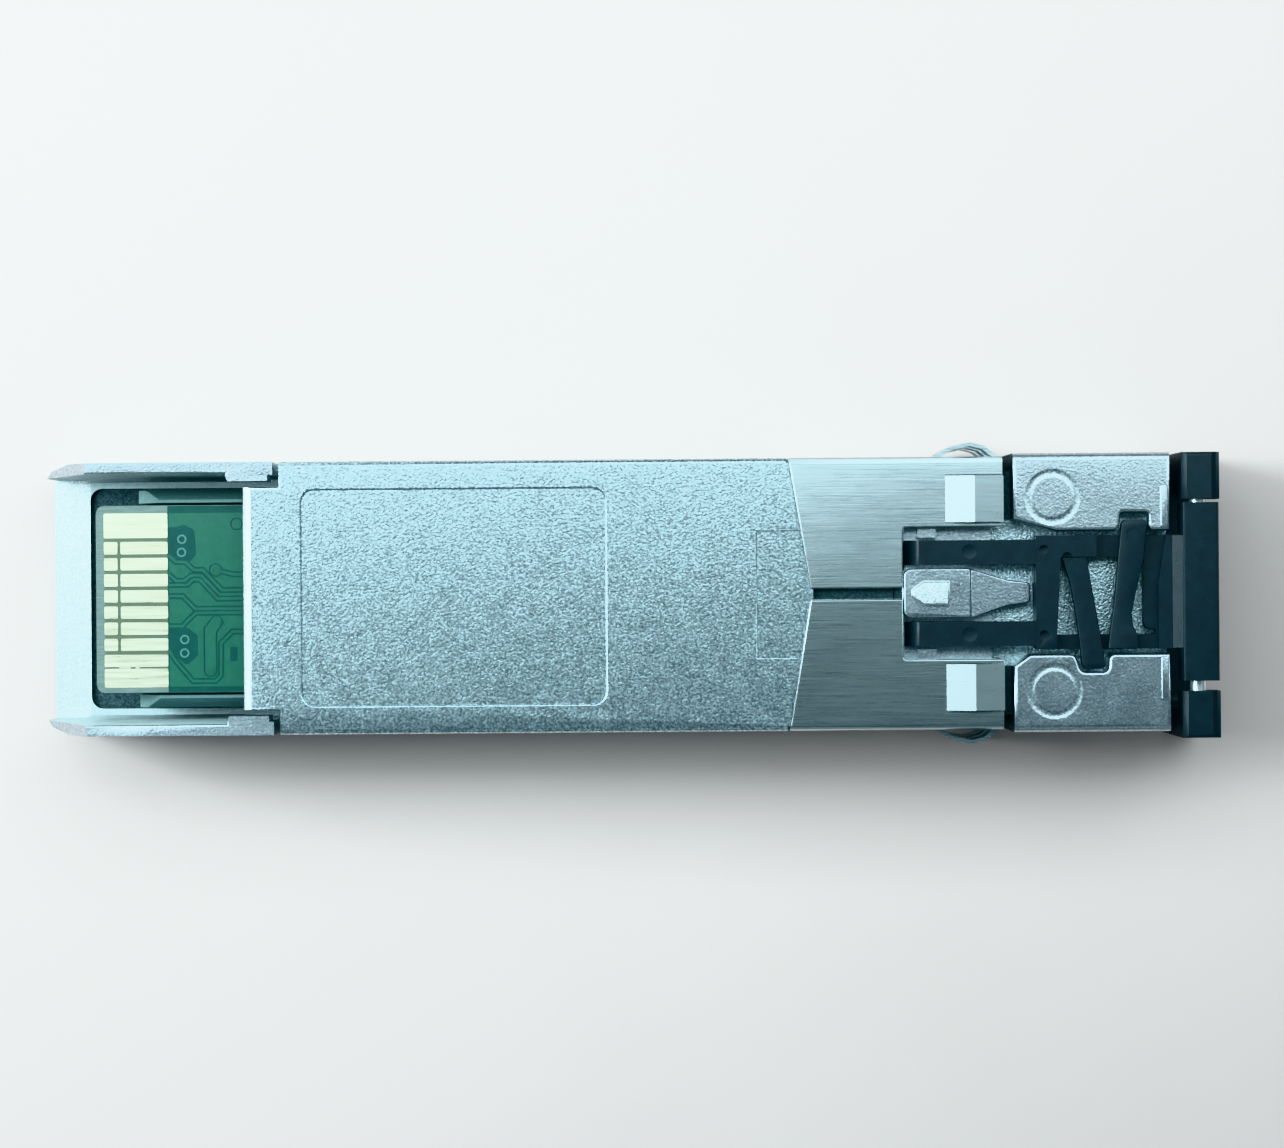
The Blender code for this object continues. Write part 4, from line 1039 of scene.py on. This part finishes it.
def layer(face, way, thickness):
    """The low and high Z of a thin layer on a face of the board."""
    return sorted([face - way * SUNK, face + way * thickness])


def fix_to_board(obj):
    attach(obj, BODY_OF["circuit_board"])


def build_contacts(plating):
    """Gold contacts on both faces. The first stretch of each signal contact is a separate wipe pad."""
    rows = contact_rows()
    between_last = (rows[-1][1] - 0.02, rows[-2][0] + 0.02)
    for name, face, way in BOARD_FACES:
        low, high = layer(face, way, FOIL)
        parts = []
        for k, row in enumerate(rows):
            if 0 < k < CONTACTS - 2:
                parts.append(contact((CONTACT_REAR, WIPE_PAD_END), row, low, high))
                parts.append(contact((CONTACT_RESTART, MASK_START), row, low, high))
            else:
                parts.append(contact((CONTACT_REAR, MASK_START), row, low, high))
        for bridge in BRIDGES:
            parts.append(block(bridge, between_last, (low, high)))
        fix_to_board(link_mesh("edge_contacts_" + name, joined(parts), plating))


def covered_slot():
    """The middle line of the short wide track with a via at each end."""
    return [SLOT_VIAS[1], (-36.44, -1.57), (-36.13, -1.17)]


def clearances():
    """Areas of bare board round the open vias."""
    upper = [(-38.6, 3.56, 0), (-38.1, 3.56, 0.1), (-37.75, 3.68, 0.2), (-37.2, 3.45, 0.3)]
    upper += [(-37.12, 2.2, 0.3), (-37.45, 1.8, 0.1), (-38.2, 1.95, 0.1), (-38.6, 2.3, 0)]
    lower = [(-38.6, -1.5, 0), (-37.6, -1.42, 0.2), (-37.08, -1.8, 0.25), (-37.05, -2.8, 0.3)]
    lower += [(-37.6, -3.3, 0.2), (-38.1, -2.95, 0.1), (-38.6, -2.45, 0)]
    return [softened(upper), softened(lower)]


def pour_gaps():
    """Cutters that keep the pour away from the tracks, pads and vias."""
    through = (BOARD_TOP - 0.1, BOARD_TOP + 0.2)
    cleared = TRACE_WIDTH + 2 * GAP_WIDTH
    slot = covered_slot()
    gaps = [prism(band(line, cleared), "Z", *through) for line in trace_lines()]
    gaps += [prism(outline, "Z", *through) for outline in clearances()]
    gaps.append(prism(band(slot, SLOT_WIDTH + 2 * PAD_GAP), "Z", *through))
    gaps += [disc(centre, VIA_PAD + PAD_GAP, *through) for centre in (slot[0], slot[-1], SPUR_VIA)]
    gaps.append(block(*POUR_OPENING, through))
    gaps.append(disc(ROUND_PAD, ROUND_PAD_RADIUS + PAD_GAP, *through))
    gaps.append(prism(band(spur_line(), cleared), "Z", *through))
    return gaps


def track_shapes(low, high):
    """The tracks, the pads round the covered vias, and what the lacquer shows of the vias."""
    covered_vias = (SPUR_VIA, *SLOT_VIAS)
    shapes = [prism(band(line, TRACE_WIDTH), "Z", low, high) for line in trace_lines()]
    shapes.append(prism(band(covered_slot(), SLOT_WIDTH), "Z", low, high))
    shapes += [disc(centre, VIA_PAD, low, high - 0.006) for centre in covered_vias]
    shapes.append(prism(band(spur_line(), TRACE_WIDTH), "Z", low, high - 0.004))
    shapes.append(disc(ROUND_PAD, ROUND_PAD_RADIUS, low, high))
    shapes += [ring(centre, 0.12, 0.19, high - 0.02, high + 0.014) for centre in (*covered_vias, POUR_VIA)]
    shapes += [disc(centre, 0.11, low, high + 0.012) for centre in TENTED_DIMPLES]
    return shapes


def build_foil(covered):
    """Copper under the solder mask: a pour with its clearances, the tracks, and the via rims."""
    low, high = layer(BOARD_TOP, 1, FOIL)
    pour_plan = rounded_box((MASK_START + 0.06, POUR_FRONT), POUR_EDGE[::-1], 0.08)
    pour = link_mesh("copper_pour", prism(pour_plan, "Z", low, high), covered)
    for gap in pour_gaps():
        cut(pour, gap)
    fix_to_board(pour)
    fix_to_board(link_mesh("copper_tracks", joined(track_shapes(low, high)), covered))


def build_vias(rim):
    """The plated rims of the four open vias."""
    parts = [ring(centre, VIA_HOLE, VIA_OUTER, *layer(BOARD_TOP, 1, FOIL)) for centre in OPEN_VIAS]
    fix_to_board(link_mesh("via_rims", joined(parts), rim))


def build_board(mask, bare, between):
    """The laminate: bare at its edges, olive between the contacts, green from the mask's edge on."""
    board = refined("circuit_board", "board_laminate")
    soften_edges(board, 0.02, 1)
    dress(board, "circuit_board", bare)
    front = BOARD_HIGH.x - 0.05
    half_plan = [(MASK_START, NECK_HALF), (NECK_FRONT, NECK_HALF), (NECK_FRONT, BOARD_HALF)]
    half_plan.append((front, BOARD_HALF))
    plan = [(x, -y) for x, y in half_plan] + half_plan[::-1]
    for name, face, way in BOARD_FACES:
        field = block((CONTACT_REAR + 0.03, MASK_START + 0.02), WIDE_OUTER[::-1], layer(face, way, 0.012))
        fix_to_board(link_mesh("contact_field_" + name, field, between))
        coat = prism(plan, "Z", *layer(face, way, 0.015))
        fix_to_board(link_mesh("solder_mask_" + name, coat, mask))


# ---------------------------------------------------------------- inside


BARREL = 1.45
BARREL_BORE = 0.98
BORE_END = 0.9
FLANGE = 2.35
FLANGE_FRONT = -0.15
FLANGE_REAR = -0.95
CAN = 2.5
CAN_FRONT = -2.0
CAN_REAR = -6.4
SLEEVE_BORE = 0.64


def can_profile(rear, tip, header):
    """Half the section of a can: its barrel, clamp flange, body and header, in (x, radius)."""
    barrel = [(tip, BARREL_BORE), (tip, BARREL - 0.2), (tip - 0.08, BARREL - 0.08), (tip - 0.2, BARREL)]
    groove = [(tip - 2.2, BARREL), (tip - 2.25, BARREL - 0.06), (tip - 2.5, BARREL - 0.06)]
    groove.append((tip - 2.55, BARREL))
    flange = [(FLANGE_FRONT, BARREL), (FLANGE_FRONT, FLANGE - 0.05), (FLANGE_FRONT - 0.05, FLANGE)]
    flange += [(FLANGE_REAR + 0.05, FLANGE), (FLANGE_REAR, FLANGE - 0.05), (FLANGE_REAR, BARREL)]
    body = [(CAN_FRONT, BARREL), (CAN_FRONT, CAN - 0.1), (CAN_FRONT - 0.1, CAN), (CAN_REAR, CAN)]
    back = [(CAN_REAR, header - 0.05), (CAN_REAR - 0.05, header), (rear + 0.05, header)]
    back += [(rear, header - 0.05), (rear, 0)]
    bore = [(BORE_END, 0), (BORE_END, BARREL_BORE)]
    return barrel + groove + flange + body + back + bore


def sleeve_section(rear, front, outer):
    """Half the section of a ferrule sleeve, whose bore widens at its mouth."""
    section = [(front, SLEEVE_BORE + 0.08), (front, outer), (rear, outer), (rear, SLEEVE_BORE)]
    section.append((front - 0.1, SLEEVE_BORE))
    return section


def build_optics(gilt, ceramic):
    """The two optical cans with their receptacle barrels, and the ferrule sleeve in each barrel."""
    for name in ("transmitter_can", "receiver_can"):
        low, high = box_mm(name)
        middle = (low + high) / 2
        profile = can_profile(low.x, high.x, high.z - middle.z)
        can = link_mesh(name + "_turned", turned(profile, middle.y, middle.z), gilt)
        sleeve_low, sleeve_high = box_mm(name + "_sleeve")
        section = sleeve_section(sleeve_low.x, sleeve_high.x, sleeve_high.z - middle.z)
        sleeve = link_mesh(name + "_sleeve_turned", turned(section, middle.y, middle.z), ceramic)
        for obj, node, slot in ((can, name, "optics_metal"), (sleeve, name + "_sleeve", "ceramic")):
            obj.data.shade_smooth()
            obj.data.set_sharp_from_angle(angle=math.radians(40))
            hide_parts(node)
            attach(obj, BODY_OF[node])


def finish_inside(finishes):
    """Finishes the hidden pieces, whose solids are right as they are."""
    slots = {s["node"]: s["material_slot"] for s in frame["record"]["subparts"]}
    for node, obj in frame["nodes"].items():
        if obj.hide_render:
            continue
        obj.data.materials.clear()
        obj.data.materials.append(finishes[slots[node]])


# ---------------------------------------------------------------- stage


# The floor and the lights are in metres, and the camera is in millimetres and degrees.
FLOOR_HALF = 2.0
COOL_LIGHT = (0.74, 0.95, 1.0)
ROOM_COLOUR = (0.62, 0.86, 0.95, 1)
ROOM_STRENGTH = 0.16
OVERHEAD_POWER = 0.213
OVERHEAD_LENGTH = 0.26
OVERHEAD_HALF = 0.03
# The middle of the overhead panel's edge. The panel lies beyond it in +Y, so the flats darken towards -Y.
OVERHEAD_EDGE = Vector((0.0, 0.0145, 0.085))
OVERHEAD_LEAN = math.radians(3)
LEFT_POWER = 0.58
WALL_DISTANCE = 0.55
WALL_HEIGHT = 0.38
WALL_SIZE = (1.1, 0.42)
WALL_POWER = 0.42
CAMERA_HEIGHT = 178
LENS = 101.8
SENSOR = 36.0
CAMERA_X = 0.815
CAMERA_Y = 1.06
CAMERA_TURN = -0.44


def build_camera():
    data = bpy.data.cameras.new("camera")
    data.sensor_width = SENSOR
    data.lens = LENS
    data.clip_start = 0.01
    data.clip_end = 10
    camera = bpy.data.objects.new("camera", data)
    camera.location = (CAMERA_X * MM, CAMERA_Y * MM, (TOP + CAMERA_HEIGHT) * MM)
    camera.rotation_euler = (0, 0, math.radians(CAMERA_TURN))
    bpy.context.scene.collection.objects.link(camera)
    bpy.context.scene.camera = camera


def panel(name, centre, aim, size, power, turn=0.0):
    """A soft rectangular light, hidden from the camera. Lengths are in metres."""
    data = bpy.data.lights.new(name, "AREA")
    data.shape = "RECTANGLE"
    data.size, data.size_y = size
    data.energy = power
    data.color = COOL_LIGHT
    light = bpy.data.objects.new(name, data)
    way = (Vector(aim) - Vector(centre)).to_track_quat("-Z", "Y")
    light.rotation_euler = (way @ Quaternion((0, 0, 1), turn)).to_euler()
    light.location = centre
    light.visible_camera = False
    bpy.context.scene.collection.objects.link(light)


def build_floor_and_room():
    bm = bmesh.new()
    bmesh.ops.create_grid(bm, x_segments=2, y_segments=2, size=FLOOR_HALF)
    link_mesh("floor", bm, floor_paint())
    world = bpy.data.worlds.new("studio")
    world.use_nodes = True
    background = world.node_tree.nodes["Background"]
    background.inputs["Color"].default_value = ROOM_COLOUR
    background.inputs["Strength"].default_value = ROOM_STRENGTH
    bpy.context.scene.world = world
    bpy.context.scene.view_settings.view_transform = "Khronos PBR Neutral"


def build_lights():
    """A panel over the +Y half, a small one at the rear end, and four walls round the room."""
    outwards = Vector((-math.sin(OVERHEAD_LEAN), math.cos(OVERHEAD_LEAN), 0))
    centre = OVERHEAD_EDGE + outwards * OVERHEAD_HALF
    size = (OVERHEAD_LENGTH, 2 * OVERHEAD_HALF)
    panel("overhead", centre, centre - Vector((0, 0, 1)), size, OVERHEAD_POWER, OVERHEAD_LEAN)
    for k in range(4):
        angle = math.pi / 2 * k
        wall = Vector((math.cos(angle), math.sin(angle), 0)) * WALL_DISTANCE
        wall.z = WALL_HEIGHT
        panel(f"wall_{k}", wall, (0, 0, 0.1), WALL_SIZE, WALL_POWER)
    panel("left", (-0.15, 0.03, 0.13), (0, 0, 0), (0.06, 0.16), LEFT_POWER)


# ---------------------------------------------------------------- all


def main():
    casting = casting_finishes()
    black = black_moulding()
    gilt = speckled("gilt_can", (0.78, 0.64, 0.36), 0.25, 1.0, 9)
    ceramic = speckled("fired_ceramic", (0.8, 0.77, 0.68), 0.35, 0.0, 5)
    build_housing(casting)
    build_cover(casting)
    build_collar(brushed_sheet(), spring_sheet(), casting["rim"])
    build_board(solder_mask("mask_on_laminate", (0.007, 0.06, 0.05)), laminate(), contact_field())
    build_contacts(gold())
    build_foil(solder_mask("mask_on_copper", (0.024, 0.105, 0.07), 0.85))
    build_vias(speckled("plated_rim", (0.06, 0.17, 0.145), 0.35, 0.0, 12))
    build_release(black, polished_metal())
    build_optics(gilt, ceramic)
    finish_inside(
        {
            "optics_metal": gilt,
            "ceramic": ceramic,
            "flex_film": speckled("amber_film", (0.5, 0.24, 0.03), 0.3, 0.0, 3),
            "chip_package": speckled("chip_resin", (0.02, 0.02, 0.022), 0.5, 0.0, 12),
            "tinned_metal": speckled("tinned", (0.6, 0.6, 0.58), 0.35, 1.0, 8),
            "thermal_rubber": speckled("pad_rubber", (0.36, 0.45, 0.55), 0.8, 0.0, 4),
            "black_plastic": black,
        }
    )
    build_camera()
    build_floor_and_room()
    build_lights()


main()
